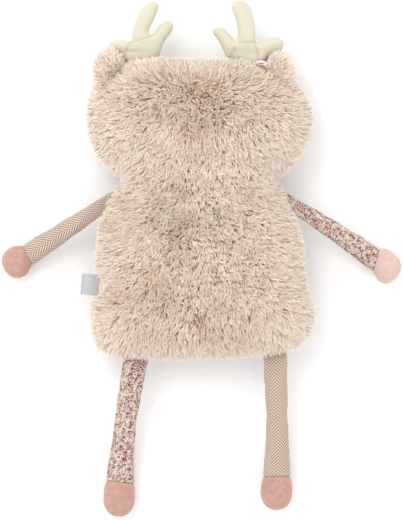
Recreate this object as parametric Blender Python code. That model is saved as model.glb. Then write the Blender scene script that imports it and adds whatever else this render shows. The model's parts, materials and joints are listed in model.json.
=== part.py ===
"""Stuffed toy deer lying on its front: body, head, ears, antlers, arms and legs.

Metres. +X is the toy's right-hand side as seen from behind, +Y runs towards the head, +Z up.
The origin is the middle of the toy's footprint on the surface that it lies on.
Every sewn-on piece hangs on an empty that stands on its seam, which is its hinge.
"""

import math

import bmesh
import bpy
from mathutils import Matrix, Vector
from mathutils.geometry import tessellate_polygon

# Overall sizes of the two fur cushions
BODY_WIDTH = 0.2170
BODY_LENGTH = 0.1713
BODY_RISE = 0.040
HEAD_WIDTH = 0.2184
HEAD_LENGTH = 0.1181
HEAD_RISE = 0.047
HEAD_SIDE_OFFSET = 0.0033

# The seams lie at one height, and the front is pressed flat on the surface
SEAM_HEIGHT = 0.040
PRESSED_DEPTH = 0.0005
FUR_THICKNESS = 0.010
GAP = 0.0003
FILL_GAP = 0.0006
SEAM_STEP = 0.0006

# How fast each cushion rises from its seam: 1 less the ring share to this power
BODY_CROWN_POWER = 5
HEAD_CROWN_POWER = 4

# Outlines in shares of half the width and half the length, from one neck corner to the other
BODY_OUTLINE_SHARES = (
    (-0.752, 1.0), (-0.832, 0.835), (-0.912, 0.555), (-0.942, 0.275), (-0.956, 0.017),
    (-0.978, -0.285), (-0.998, -0.532), (-0.995, -0.756), (-0.960, -0.901), (-0.876, -0.964),
    (-0.708, -0.991), (-0.469, -1.0), (-0.142, -1.0), (0.133, -0.994), (0.460, -0.980),
    (0.637, -0.952), (0.788, -0.918), (0.894, -0.862), (0.965, -0.767), (1.0, -0.599),
    (0.973, -0.408), (0.920, -0.229), (0.903, -0.027), (0.894, 0.197), (0.867, 0.421),
    (0.810, 0.600), (0.739, 0.790), (0.690, 1.0),
)
HEAD_OUTLINE_SHARES = (
    (0.720, -1.0), (0.804, -0.821), (0.886, -0.652), (0.943, -0.480), (0.984, -0.268),
    (1.0, -0.018), (0.980, 0.236), (0.923, 0.439), (0.839, 0.602), (0.734, 0.732), (0.619, 0.829),
    (0.496, 0.911), (0.356, 0.971), (0.197, 0.997), (0.004, 0.993), (-0.189, 0.997), (-0.348, 1.0),
    (-0.497, 0.987), (-0.638, 0.935), (-0.787, 0.797), (-0.893, 0.642), (-0.966, 0.426),
    (-1.0, 0.154), (-0.996, -0.102), (-0.970, -0.317), (-0.937, -0.545), (-0.884, -0.707),
    (-0.796, -0.846), (-0.717, -1.0),
)
OUTER_RING_SHARES = (0.30, 0.60, 0.75, 0.85, 0.92, 0.965, 1.0)
INNER_RING_SHARES = (0.40, 0.70, 0.88)
CURVED_POINTS = 32
NECK_POINTS = 6

# Limbs: sizes along and across, and where they sit on the body's seam
ARM_LENGTH = 0.0887
RIGHT_ARM_EXTRA = 0.0064
ARM_WIDTH = 0.0190
HAND_LENGTH = 0.0262
HAND_WIDTH = 0.0300
LEG_LENGTH = 0.1192
RIGHT_LEG_CUT = 0.0045
LEG_WIDTH = 0.0220
FOOT_LENGTH = 0.0340
FOOT_WIDTH = 0.0306
SLEEVE_WALL = 0.0010
TIP_WALL = 0.0016
ROOT_HALF_THICKNESS = 0.0004
ROOT_TAPER_SHARE = 0.36
SKEW_FADE_LENGTH = 0.036
LIMB_THICKNESS_SHARE = 0.88
LEFT_LEG_BOW = 0.0028
LIMB_SIDES = 12
SLEEVE_WIDTH_SHARES = ((0.0, 1.05), (0.07, 1.03), (0.17, 1.0), (0.34, 0.98), (0.56, 1.0),
                       (0.78, 1.10), (0.92, 1.20), (1.0, 1.24))
CAVITY_SHARES = (0.18, 0.26, 0.40, 0.60, 0.80, 1.0)
TIP_WIDTH_SHARES = ((0.0, 0.84), (0.16, 0.95), (0.40, 1.0), (0.66, 0.90), (0.85, 0.66), (0.955, 0.36))
TIP_CAVITY_SHARES = (0.0, 0.30, 0.54, 0.66)

# Angles round the cushions' middles at which the sewn-on pieces sit, and where they point
LEFT_ARM_PLACE, LEFT_ARM_HEADING = 146.8, 212.8
RIGHT_ARM_PLACE, RIGHT_ARM_HEADING = 35.4, -33.2
LEFT_LEG_PLACE, LEFT_LEG_HEADING = 233.1, 263.0
RIGHT_LEG_PLACE, RIGHT_LEG_HEADING = 310.1, 270.9
LABEL_PLACE = 187.8
LEFT_EAR_PLACE, RIGHT_EAR_PLACE = 150.6, 32.4
LEFT_ANTLER_PLACE, RIGHT_ANTLER_PLACE = 133.5, 52.0
FLOWER_PLACE = 39.2

# Ears: a fur back and a velour lining, sewn to the head by their lower edge
EAR_WIDTH = 0.0312
EAR_HEIGHT = 0.0205
EAR_BACK_THICKNESS = 0.0095
EAR_LINING_THICKNESS = 0.0026
EAR_LIFT = 0.0060
EAR_ROOT_LENGTH = 0.0100
EAR_MIDDLE_SHARE = 0.50
EAR_OUTLINE_SHARES = ((1.0, 0.0), (1.01, 0.35), (0.90, 0.70), (0.58, 0.93), (0.12, 1.0),
                      (-0.34, 0.95), (-0.70, 0.75), (-0.92, 0.40), (-1.0, 0.0))
EAR_CURVED_POINTS = 14
EAR_ROOT_POINTS = 7
EAR_RING_SHARES = (0.55, 0.82, 1.0)
EAR_CROWN_POWER = 3
EAR_SEAM_SHARE = 0.05

# Antlers: outlines in shares of the height, across the seam and up from it
ANTLER_HEIGHT = 0.0568
ANTLER_RISE = 0.0058
ANTLER_WALL = 0.0011
ANTLER_POINTS = 52
ANTLER_ROOT_LENGTH = 0.0080
ANTLER_DROOP = 0.0060
ANTLER_DROOP_START = 0.0100
ANTLER_INSET = 0.0048
ANTLER_RING_SHARES = ((1.0, 1.0), (0.40, 0.72), (0.0, 0.0))
ANTLER_HOLLOW_SHARES = ((0.38, 0.0), (0.92, 0.80))
ANTLER_FILL_SHARE = 0.74
RIGHT_ANTLER_SHARES = (
    (0.19, -0.04), (0.24, 0.0), (0.30, 0.0), (0.39, 0.10), (0.50, 0.13), (0.59, 0.16), (0.63, 0.21),
    (0.64, 0.28), (0.58, 0.35), (0.48, 0.37), (0.35, 0.34), (0.24, 0.27), (0.19, 0.24), (0.16, 0.30),
    (0.16, 0.40), (0.15, 0.55), (0.13, 0.67), (0.10, 0.80), (0.05, 0.91), (-0.02, 0.97), (-0.10, 0.99),
    (-0.20, 0.96), (-0.24, 0.89), (-0.23, 0.84), (-0.20, 0.77), (-0.16, 0.66), (-0.13, 0.52),
    (-0.12, 0.36), (-0.14, 0.29), (-0.19, 0.29), (-0.25, 0.38), (-0.31, 0.45), (-0.37, 0.51),
    (-0.44, 0.54), (-0.52, 0.54), (-0.56, 0.49), (-0.54, 0.43), (-0.47, 0.34), (-0.42, 0.26),
    (-0.35, 0.14), (-0.30, 0.07), (-0.17, 0.03), (0.02, -0.03),
)
LEFT_ANTLER_SHARES = (
    (0.27, 0.06), (0.33, 0.20), (0.39, 0.30), (0.47, 0.41), (0.52, 0.49), (0.52, 0.57), (0.47, 0.61),
    (0.39, 0.60), (0.32, 0.54), (0.26, 0.47), (0.19, 0.38), (0.13, 0.36), (0.10, 0.38), (0.11, 0.46),
    (0.16, 0.57), (0.22, 0.68), (0.26, 0.79), (0.28, 0.87), (0.23, 0.94), (0.16, 0.95), (0.08, 0.91),
    (-0.01, 0.79), (-0.08, 0.66), (-0.13, 0.53), (-0.15, 0.38), (-0.17, 0.26), (-0.22, 0.25),
    (-0.30, 0.28), (-0.41, 0.30), (-0.50, 0.27), (-0.57, 0.20), (-0.60, 0.13), (-0.55, 0.09),
    (-0.48, 0.09), (-0.39, 0.04), (-0.27, -0.05), (-0.12, -0.04), (0.08, 0.0),
)

# Face, pressed into the fur of the front
EYE_RADIUS = 0.0048
EYE_DEPTH = 0.0030
EYE_SPACING = 0.0270
EYE_ABOVE_MIDDLE = 0.0040
NOSE_HALF_WIDTH = 0.0105
NOSE_HALF_LENGTH = 0.0070
NOSE_DEPTH = 0.0042
NOSE_BELOW_MIDDLE = 0.0120
FACE_RECESS = 0.0006
CUT_OVERRUN = 0.002
BUTTON_SIDES = 16
BUTTON_PROFILE_SHARES = ((1.0, 1.0), (1.0, 0.45), (0.80, 0.16), (0.42, 0.03))

# Ribbon flower under the head's top edge, and the label in the side seam
FLOWER_RADIUS = 0.0086
FLOWER_THICKNESS = 0.0066
FLOWER_BELOW_SEAM = 0.0108
FLOWER_PETALS = 5
FLOWER_NOTCH_SHARE = 0.16
FLOWER_SIDES = 30
FLOWER_PROFILE_SHARES = ((0.0, 0.80), (0.35, 1.0), (0.75, 0.96), (1.0, 0.62))
LABEL_LENGTH = 0.0105
LABEL_WIDTH = 0.0200
LABEL_THICKNESS = 0.0007
LABEL_DROOP = 0.0035
LABEL_STEPS = 4

MATERIALS = {
    "fur": ((0.85, 0.78, 0.69), 0.95),
    "stuffing": ((0.95, 0.95, 0.93), 1.0),
    "velour": ((0.87, 0.69, 0.63), 0.90),
    "herringbone": ((0.75, 0.67, 0.60), 0.90),
    "floral": ((0.86, 0.76, 0.71), 0.85),
    "needlecord": ((0.90, 0.88, 0.77), 0.90),
    "thread": ((0.09, 0.07, 0.07), 0.60),
    "satin": ((0.94, 0.72, 0.72), 0.40),
    "label": ((0.90, 0.90, 0.91), 0.50),
}
CURVE_STEPS = 8
PARALLEL = 1e-12


def clear_scene():
    """Remove every object and mesh that the file opened with."""
    for thing in list(bpy.data.objects):
        bpy.data.objects.remove(thing, do_unlink=True)


def material(name):
    """The Principled material of this name, made on its first use."""
    found = bpy.data.materials.get(name)
    if found is None:
        colour, roughness = MATERIALS[name]
        found = bpy.data.materials.new(name)
        found.use_nodes = True
        shader = found.node_tree.nodes["Principled BSDF"]
        shader.inputs["Base Color"].default_value = (*colour, 1.0)
        shader.inputs["Roughness"].default_value = roughness
        shader.inputs["Metallic"].default_value = 0.0
    return found


def empty(name, parent, place, turn=0.0):
    """An empty on its parent, turned about Z by an angle in radians."""
    made = bpy.data.objects.new(name, None)
    bpy.context.scene.collection.objects.link(made)
    made.parent = parent
    made.location = place
    made.rotation_euler = (0.0, 0.0, turn)
    return made


def skin(name, loops, parent, finish, start=None, end=None, caps=None):
    """One closed body over loops of points; an end is a pole, given triangles or one flat face."""
    bm = bmesh.new()
    rows = [[bm.verts.new(p) for p in loop] for loop in loops]
    count = len(rows[0])
    for low, high in zip(rows, rows[1:]):
        for i in range(count):
            j = (i + 1) % count
            bm.faces.new((low[i], low[j], high[j], high[i]))
    for row, pole in ((rows[0], start), (rows[-1], end)):
        if pole is None:
            for corners in caps or [range(count)]:
                bm.faces.new([row[k] for k in corners])
            continue
        tip = bm.verts.new(pole)
        for i in range(count):
            bm.faces.new((row[i], row[(i + 1) % count], tip))
    quads = [face for face in bm.faces if len(face.verts) == 4]
    bmesh.ops.triangulate(bm, faces=quads, quad_method="SHORT_EDGE")
    bmesh.ops.recalc_face_normals(bm, faces=bm.faces)
    mesh = bpy.data.meshes.new(name)
    bm.to_mesh(mesh)
    bm.free()
    mesh.materials.append(material(finish))
    made = bpy.data.objects.new(name, mesh)
    bpy.context.scene.collection.objects.link(made)
    made.parent = parent
    return made


def smooth_run(points, closed=False):
    """Dense points on the smooth curve through these, open or closed."""
    count = len(points)
    dense = []
    for i in range(count if closed else count - 1):
        at = [(i + k - 1) % count if closed else min(max(i + k - 1, 0), count - 1) for k in range(4)]
        a, b, c, d = (Vector(points[k]) for k in at)
        for step in range(CURVE_STEPS):
            t = step / CURVE_STEPS
            cubic = (3 * b - a - 3 * c + d) * t**3
            dense.append(0.5 * (2 * b + (c - a) * t + (2 * a - 5 * b + 4 * c - d) * t**2 + cubic))
    if not closed:
        dense.append(Vector(points[-1]))
    return dense


def evenly(points, count, closed=False):
    """This many points spaced evenly along a run of points, its ends included if it is open."""
    run = list(points) + ([points[0]] if closed else [])
    lengths = [0.0]
    for a, b in zip(run, run[1:]):
        lengths.append(lengths[-1] + (b - a).length)
    spaces = count if closed else count - 1
    found, k = [], 0
    for i in range(count):
        wanted = lengths[-1] * i / spaces
        while k < len(run) - 2 and lengths[k + 1] < wanted:
            k += 1
        share = (wanted - lengths[k]) / (lengths[k + 1] - lengths[k])
        found.append(run[k].lerp(run[k + 1], share))
    return found


def cushion_outline(shares, half_width, half_length):
    """A cushion's seam in plan: the smooth run between the neck corners, then the straight neck."""
    corners = [Vector((x * half_width, y * half_length)) for x, y in shares]
    curved = evenly(smooth_run(corners), CURVED_POINTS)
    neck = evenly([curved[-1], curved[0]], NECK_POINTS + 2)[1:-1]
    return curved + neck


def rim(outline, degrees):
    """Where a ray from the middle meets an outline: the point and the outward normal there."""
    ray = Vector((math.cos(math.radians(degrees)), math.sin(math.radians(degrees))))
    for a, b in zip(outline, outline[1:] + outline[:1]):
        edge = b - a
        across = ray.cross(edge)
        if abs(across) < PARALLEL:
            continue
        share, reach = a.cross(ray) / across, a.cross(edge) / across
        if 0.0 <= share <= 1.0 and reach > 0.0:
            normal = Vector((edge.y, -edge.x)).normalized()
            if normal.dot(ray) < 0.0:
                normal.negate()
            return a + edge * share, normal
    raise ValueError("the ray misses the outline")


def stand_out(outline, point, normal, reach):
    """How far an outline stands out of its tangent at a point, within a reach to either side."""
    along = Vector((-normal.y, normal.x))
    most = 0.0
    for a, b in zip(outline, outline[1:] + outline[:1]):
        for step in range(CURVE_STEPS):
            way = a.lerp(b, step / CURVE_STEPS) - point
            if abs(way.dot(along)) < reach:
                most = max(most, way.dot(normal))
    return most


def dome(outline, shares, shrink, rise, power, side, floor=None):
    """Rings of a domed cushion, from its middle out, kept above a floor where there is one."""
    rings = []
    for share in shares:
        height = side * (GAP / 2 + rise * (1.0 - share**power))
        if floor is not None:
            height = max(height, floor)
        rings.append([(p.x * shrink.x * share, p.y * shrink.y * share, height) for p in outline])
    return rings


def shrink_by(depth, half_width, half_length):
    """The scale that draws an outline in by a depth on every side."""
    return Vector((1.0 - depth / half_width, 1.0 - depth / half_length))


def cushion(name, joint, outline, half_width, half_length, rise, power):
    """The two fur panels of a cushion, sewn together at the seam, and the stuffing in them."""
    whole = Vector((1.0, 1.0))
    inner = shrink_by(FUR_THICKNESS, half_width, half_length)
    core = shrink_by(FUR_THICKNESS + GAP, half_width, half_length)
    down = SEAM_HEIGHT + PRESSED_DEPTH
    panels = {}
    for part, side, height in (("back", 1, rise), ("front", -1, down)):
        floor = -SEAM_HEIGHT if side < 0 else None
        hollow = height - FUR_THICKNESS
        outside = dome(outline, OUTER_RING_SHARES, whole, height, power, side, floor)
        inside = dome(outline, (1.0,) + INNER_RING_SHARES[::-1], inner, hollow, power, side)
        crown = height if side > 0 else SEAM_HEIGHT
        panels[part] = skin(f"{name}_{part}_panel", outside + inside, joint, "fur",
                            (0.0, 0.0, side * crown), (0.0, 0.0, side * (hollow + GAP / 2)))
    top, bottom = rise - FUR_THICKNESS - GAP, down - FUR_THICKNESS - GAP
    upper = dome(outline, INNER_RING_SHARES, core, top, power, 1)
    lower = dome(outline, INNER_RING_SHARES, core, bottom, power, -1)
    belt = dome(outline, (1.0,), core, top, power, 1)
    skin(f"{name}_stuffing", upper + belt + lower[::-1], joint, "stuffing",
         (0.0, 0.0, top), (0.0, 0.0, -bottom))
    return panels


def limb_ring(x, half_width, inset, skew):
    """A ring round a limb at x from its seam: oblique and flat at the seam, round further on."""
    fade = max(0.0, 1.0 - x / SKEW_FADE_LENGTH)
    ring = []
    for i in range(LIMB_SIDES):
        angle = 2 * math.pi * (i + 0.5) / LIMB_SIDES
        y = (half_width - inset) * math.cos(angle)
        along = x + y * math.tan(skew) * fade
        depth = max(0.0, along * math.cos(skew) - y * math.sin(skew))
        half = min(half_width * LIMB_THICKNESS_SHARE, ROOT_HALF_THICKNESS + depth * ROOT_TAPER_SHARE)
        ring.append(Vector((along, y, (half - min(inset, half / 2)) * math.sin(angle))))
    return ring


def blended(table, share):
    """The value of a table of shares at a share along it."""
    for (a, low), (b, high) in zip(table, table[1:]):
        if share <= b:
            return low + (high - low) * (share - a) / (b - a)
    return table[-1][1]


def limb(name, tip_name, torso, place, heading, outline, sizes, finish, bow=0.0):
    """A sleeve sewn flat into the body's seam, its hand or foot, and the stuffing in both."""
    length, width, tip_length, tip_width = sizes
    point, normal = rim(outline, place)
    turn = math.radians(heading)
    ahead = Vector((math.cos(turn), math.sin(turn)))
    skew = math.atan2(normal.cross(ahead), ahead.dot(normal))
    out = SEAM_STEP + stand_out(outline, point, normal, width / math.cos(skew))
    joint = empty(f"{name}_joint", torso, (*(point + normal * out), 0.0), turn)
    reach = length + tip_length
    tip_half_thickness = tip_width / 2 * LIMB_THICKNESS_SHARE
    drop = SEAM_HEIGHT + PRESSED_DEPTH - tip_half_thickness

    def settled(ring, x):
        """A ring let down from the seam to the surface that the toy lies on."""
        share = min(max(x / (reach - tip_length / 2), 0.0), 1.0)
        fall = Vector((0.0, -bow * math.sin(math.pi * share), -drop * share * share * (3.0 - 2.0 * share)))
        return [(p.x, p.y + fall.y, max(p.z + fall.z, -SEAM_HEIGHT)) for p in ring]

    def sleeve_ring(share, inset):
        half = width / 2 * blended(SLEEVE_WIDTH_SHARES, share)
        return settled(limb_ring(length * share, half, inset, skew), length * share)

    def tip_ring(share, inset):
        half = tip_width / 2 * blended(TIP_WIDTH_SHARES, share)
        x = length + GAP + (tip_length - GAP) * share
        return settled(limb_ring(x, half, inset, skew), x)

    outside = [sleeve_ring(share, 0.0) for share, _ in SLEEVE_WIDTH_SHARES]
    inside = [sleeve_ring(share, SLEEVE_WALL) for share in reversed(CAVITY_SHARES)]
    skin(f"{name}_sleeve", outside + inside, joint, finish)

    outside = [tip_ring(share, 0.0) for share, _ in TIP_WIDTH_SHARES]
    inside = [tip_ring(share, TIP_WALL) for share in reversed(TIP_CAVITY_SHARES)]
    skin(tip_name, outside[::-1] + inside[::-1], joint, "velour", (reach, 0.0, -drop))

    core = [sleeve_ring(share, SLEEVE_WALL + FILL_GAP) for share in CAVITY_SHARES[1:-1]]
    core += [tip_ring(share, TIP_WALL + FILL_GAP) for share in TIP_CAVITY_SHARES[:-1]]
    skin(f"{name}_stuffing", core, joint, "stuffing")
    return joint


def taper(depth, length):
    """How far a piece has opened at a depth from the seam that pinches it, from 0 to 1."""
    return min(max(depth / length, 0.0), 1.0)


def ear(name, head, outline, place, side):
    """A fur back over a velour lining, both pinched into the head's seam along its curve."""
    point, normal = rim(outline, place)
    turn = math.atan2(normal.y, normal.x)
    joint = empty(f"{name}_joint", head, (*(point + normal * SEAM_STEP), 0.0), turn)
    to_local = Matrix.Rotation(-turn, 2)
    base = point + normal * SEAM_STEP
    half = EAR_WIDTH / 2
    free = [Vector((v * EAR_HEIGHT, side * u * half)) for u, v in EAR_OUTLINE_SHARES[::side]]
    local = [to_local @ (p + (p.normalized() * SEAM_STEP) - base) for p in smooth_run(outline, True)]
    sewn = sorted((p for p in local if abs(p.y) < half and p.x > -half), key=lambda p: p.y)
    free[0] = Vector((sewn[-1].x, half))
    free[-1] = Vector((sewn[0].x, -half))
    edge = evenly(smooth_run(free), EAR_CURVED_POINTS)
    edge += evenly([edge[-1]] + sewn + [edge[0]], EAR_ROOT_POINTS + 2)[1:-1]
    middle = Vector((EAR_HEIGHT * EAR_MIDDLE_SHARE, 0.0))

    def rings(shares, low, thickness):
        """Rings of one layer at its height above the ear's seam with the other layer."""
        made = []
        for share in shares:
            ring = []
            for p in edge:
                at = middle + (p - middle) * share
                opened = taper(at.x + SEAM_STEP, EAR_ROOT_LENGTH)
                crown = thickness * (1.0 - share**EAR_CROWN_POWER) * max(opened, EAR_SEAM_SHARE)
                ring.append((at.x, at.y, EAR_LIFT * opened + low + crown))
            made.append(ring)
        return made

    opened = taper(middle.x + SEAM_STEP, EAR_ROOT_LENGTH)
    level = EAR_LIFT * opened
    for part, up, thickness, finish in (("back", 1, EAR_BACK_THICKNESS, "fur"),
                                        ("lining", -1, EAR_LINING_THICKNESS, "velour")):
        low = up * GAP / 2
        seam = up * ROOT_HALF_THICKNESS
        domed = rings(EAR_RING_SHARES[:-1], low + seam, up * thickness)
        border = rings(EAR_RING_SHARES[-1:], low + seam, up * thickness)
        flat = rings(EAR_RING_SHARES[::-1], low, 0.0)
        skin(f"{name}_{part}", domed + border + flat, joint, finish,
             (middle.x, middle.y, level + low + seam + up * thickness * opened),
             (middle.x, middle.y, level + low))
    return joint


def inward_normals(points):
    """The direction into a closed outline at each of its corners."""
    count = len(points)
    area = sum(points[i].cross(points[(i + 1) % count]) for i in range(count))
    turn = 1.0 if area > 0.0 else -1.0
    found = []
    for i in range(count):
        before, after = points[i] - points[i - 1], points[(i + 1) % count] - points[i]
        along = (before.normalized() + after.normalized()).normalized()
        found.append(Vector((-along.y, along.x)) * turn)
    return found


def half_widths(points, normals):
    """Half the way across a closed outline at each corner, no more than at the corners beside it."""
    count = len(points)
    across = []
    for i in range(count):
        ways = []
        for k in range(count):
            a, b = points[k], points[(k + 1) % count]
            if k in (i, (i - 1) % count):
                continue
            edge = b - a
            spread = normals[i].cross(edge)
            if abs(spread) < PARALLEL:
                continue
            share, way = (a - points[i]).cross(normals[i]) / spread, (a - points[i]).cross(edge) / spread
            if 0.0 <= share <= 1.0 and way > 0.0:
                ways.append(way / 2)
        across.append(min(ways))
    return [min(across[i - 1], across[i], across[(i + 1) % count]) for i in range(count)]


def antler(name, head, outline, place, shares):
    """An antler of two needlecord panels round its stuffing, sewn to the head by its foot."""
    point, normal = rim(outline, place)
    joint = empty(f"{name}_joint", head, (*(point + normal * SEAM_STEP), 0.0))
    raw = [Vector((x * ANTLER_HEIGHT, y * ANTLER_HEIGHT)) for x, y in shares]
    slope = -normal.x / normal.y
    seated = [Vector((p.x, max(p.y, p.x * slope))) for p in raw]
    edge = evenly(smooth_run(seated, True), ANTLER_POINTS, True)
    edge = [Vector((p.x, max(p.y, p.x * slope))) for p in edge]
    normals = inward_normals(edge)
    narrowings = [min(1.0, half * ANTLER_FILL_SHARE / ANTLER_INSET) for half in half_widths(edge, normals)]

    def layer(inset, height, low=0.0):
        """One ring of a panel, opened by its distance from the seam and let down at the sides."""
        ring = []
        for corner, inward, narrowing in zip(edge, normals, narrowings):
            p = corner + inward * (inset * narrowing)
            opened = taper((p.y - p.x * slope) * normal.y, ANTLER_ROOT_LENGTH)
            aside = max(0.0, abs(p.x) - ANTLER_DROOP_START) / (ANTLER_HEIGHT / 2)
            droop = ANTLER_DROOP * min(aside, 1.0) * opened
            ring.append((p.x, p.y, low + height * narrowing * opened - droop))
        return ring

    caps = tessellate_polygon([[Vector((x, y, 0.0)) for x, y, _ in layer(ANTLER_INSET, 0.0)]])
    for part, side in (("back", 1), ("front", -1)):
        low = side * GAP / 2
        outside = [layer(ANTLER_INSET * inset, side * ANTLER_RISE * share, low)
                   for inset, share in ANTLER_RING_SHARES]
        inside = [layer(ANTLER_INSET * inset, side * (ANTLER_RISE - ANTLER_WALL) * share, low)
                  for inset, share in ANTLER_HOLLOW_SHARES]
        skin(f"{name}_{part}", outside + inside, joint, "needlecord", caps=caps)
    (belt, _), (crown, height) = ANTLER_HOLLOW_SHARES
    fill = (ANTLER_RISE - ANTLER_WALL) * height - FILL_GAP
    skin(f"{name}_stuffing", [layer(ANTLER_INSET * crown, fill), layer(ANTLER_INSET * belt + FILL_GAP, 0.0),
                              layer(ANTLER_INSET * crown, -fill)], joint, "stuffing", caps=caps)
    return joint


def button(name, parent, place, half_width, half_length, depth, finish):
    """A domed oval set into the front, its crown down."""
    loops = []
    for reach, height in BUTTON_PROFILE_SHARES:
        ring = []
        for i in range(BUTTON_SIDES):
            angle = 2 * math.pi * (i + 0.5) / BUTTON_SIDES
            ring.append((place[0] + half_width * reach * math.cos(angle),
                         place[1] + half_length * reach * math.sin(angle),
                         place[2] + depth * height))
        loops.append(ring)
    return skin(name, loops, parent, finish, None, tuple(place))


def pocket(name, panel, place, half_width, half_length, depth):
    """Cut the room for a button out of a panel."""
    loops = []
    for height in (-CUT_OVERRUN, depth + GAP):
        ring = []
        for i in range(BUTTON_SIDES):
            angle = 2 * math.pi * (i + 0.5) / BUTTON_SIDES
            ring.append((place[0] + (half_width + GAP) * math.cos(angle),
                         place[1] + (half_length + GAP) * math.sin(angle), place[2] + height))
        loops.append(ring)
    cutter = skin(name, loops, panel.parent, "thread")
    cutter.hide_render = True
    cutter.display_type = "WIRE"
    cut = panel.modifiers.new(name, "BOOLEAN")
    cut.operation = "DIFFERENCE"
    cut.solver = "EXACT"
    cut.object = cutter


def face(head, front):
    """Two thread eyes and a velour nose, each in its own dip in the fur."""
    level = -SEAM_HEIGHT + FACE_RECESS
    for name, side in (("left_eye", -1), ("right_eye", 1)):
        place = (side * EYE_SPACING, EYE_ABOVE_MIDDLE, level)
        button(name, head, place, EYE_RADIUS, EYE_RADIUS, EYE_DEPTH, "thread")
        pocket(f"{name}_dip", front, place, EYE_RADIUS, EYE_RADIUS, EYE_DEPTH)
    place = (0.0, -NOSE_BELOW_MIDDLE, level)
    button("nose", head, place, NOSE_HALF_WIDTH, NOSE_HALF_LENGTH, NOSE_DEPTH, "velour")
    pocket("nose_dip", front, place, NOSE_HALF_WIDTH, NOSE_HALF_LENGTH, NOSE_DEPTH)


def flower(head, outline):
    """A ribbon flower that leans on the slope under the head's top edge."""
    point, normal = rim(outline, FLOWER_PLACE)
    slope = (SEAM_HEIGHT + PRESSED_DEPTH) * HEAD_CROWN_POWER / point.length
    lean = math.atan2(1.0, slope)
    out = Vector((normal.x * math.cos(lean), normal.y * math.cos(lean), -math.sin(lean)))
    across = Vector((-normal.y, normal.x, 0.0))
    down = out.cross(across)
    if down.z > 0.0:
        down.negate()
    start = Vector((point.x, point.y, 0.0)) + down * FLOWER_BELOW_SEAM + out * FILL_GAP
    loops = []
    for depth, reach in FLOWER_PROFILE_SHARES:
        ring = []
        for i in range(FLOWER_SIDES):
            angle = 2 * math.pi * i / FLOWER_SIDES
            notch = 1.0 - FLOWER_NOTCH_SHARE * (0.5 - 0.5 * math.cos(FLOWER_PETALS * angle))
            radius = FLOWER_RADIUS * reach * notch
            side = across * (radius * math.cos(angle)) + down * (radius * math.sin(angle))
            ring.append(tuple(start + out * (FLOWER_THICKNESS * depth) + side))
        loops.append(ring)
    skin("ribbon_flower", loops, head, "satin")


def care_label(torso, outline):
    """A blank satin tab sewn into the side seam, drooping a little under its own weight."""
    point, normal = rim(outline, LABEL_PLACE)
    turn = math.atan2(normal.y, normal.x)
    joint = empty("care_label_joint", torso, (*(point + normal * SEAM_STEP), 0.0), turn)
    loops = []
    for step in range(LABEL_STEPS + 1):
        share = step / LABEL_STEPS
        x, z = LABEL_LENGTH * share, -LABEL_DROOP * share * share
        half, thick = LABEL_WIDTH / 2, LABEL_THICKNESS / 2
        loops.append([(x, -half, z - thick), (x, half, z - thick), (x, half, z + thick), (x, -half, z + thick)])
    skin("care_label", loops, joint, "label")


def centre_on_footprint(root):
    """Move the toy so that the middle of its footprint is the origin."""
    bpy.context.view_layer.update()
    solids = [o for o in bpy.data.objects if o.type == "MESH" and not o.hide_render]
    corners = [o.matrix_world @ v.co for o in solids for v in o.data.vertices]
    for axis in (0, 1):
        low, high = min(c[axis] for c in corners), max(c[axis] for c in corners)
        root.location[axis] -= (low + high) / 2
    bpy.context.view_layer.update()


def build():
    """Make the whole toy."""
    clear_scene()
    root = empty("toy", None, (0.0, 0.0, 0.0))
    body_half, length_half = BODY_WIDTH / 2, BODY_LENGTH / 2
    head_half, head_length_half = HEAD_WIDTH / 2, HEAD_LENGTH / 2
    body_outline = cushion_outline(BODY_OUTLINE_SHARES, body_half, length_half)
    head_outline = cushion_outline(HEAD_OUTLINE_SHARES, head_half, head_length_half)

    torso = empty("torso", root, (0.0, 0.0, SEAM_HEIGHT))
    cushion("body", torso, body_outline, body_half, length_half, BODY_RISE, BODY_CROWN_POWER)

    neck = empty("head_joint", torso, (0.0, length_half + GAP / 2, 0.0))
    head = empty("head", neck, (-HEAD_SIDE_OFFSET, head_length_half + GAP / 2, 0.0))
    panels = cushion("head", head, head_outline, head_half, head_length_half, HEAD_RISE, HEAD_CROWN_POWER)
    face(head, panels["front"])
    flower(head, head_outline)

    arm = (ARM_LENGTH, ARM_WIDTH, HAND_LENGTH, HAND_WIDTH)
    long_arm = (ARM_LENGTH + RIGHT_ARM_EXTRA, ARM_WIDTH, HAND_LENGTH, HAND_WIDTH)
    leg = (LEG_LENGTH, LEG_WIDTH, FOOT_LENGTH, FOOT_WIDTH)
    short_leg = (LEG_LENGTH - RIGHT_LEG_CUT, LEG_WIDTH, FOOT_LENGTH, FOOT_WIDTH)
    limb("left_arm", "left_hand", torso, LEFT_ARM_PLACE, LEFT_ARM_HEADING, body_outline, arm, "herringbone")
    limb("right_arm", "right_hand", torso, RIGHT_ARM_PLACE, RIGHT_ARM_HEADING, body_outline, long_arm, "floral")
    limb("left_leg", "left_foot", torso, LEFT_LEG_PLACE, LEFT_LEG_HEADING, body_outline, leg, "floral",
         LEFT_LEG_BOW)
    limb("right_leg", "right_foot", torso, RIGHT_LEG_PLACE, RIGHT_LEG_HEADING, body_outline, short_leg,
         "herringbone")
    care_label(torso, body_outline)

    ear("left_ear", head, head_outline, LEFT_EAR_PLACE, 1)
    ear("right_ear", head, head_outline, RIGHT_EAR_PLACE, -1)
    antler("left_antler", head, head_outline, LEFT_ANTLER_PLACE, LEFT_ANTLER_SHARES)
    antler("right_antler", head, head_outline, RIGHT_ANTLER_PLACE, RIGHT_ANTLER_SHARES)
    centre_on_footprint(root)


build()
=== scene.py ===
"""Plush deer lying on its front: long fur over stuffed cushions, cloth limbs, cord antlers.

Metres, in the frame of the CAD model: +X is the toy's right as seen from behind, +Y runs
towards the head and +Z up. The toy lies on the floor at z = 0.
"""

import json
import logging
import math
from dataclasses import dataclass, field
from enum import Enum

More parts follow.
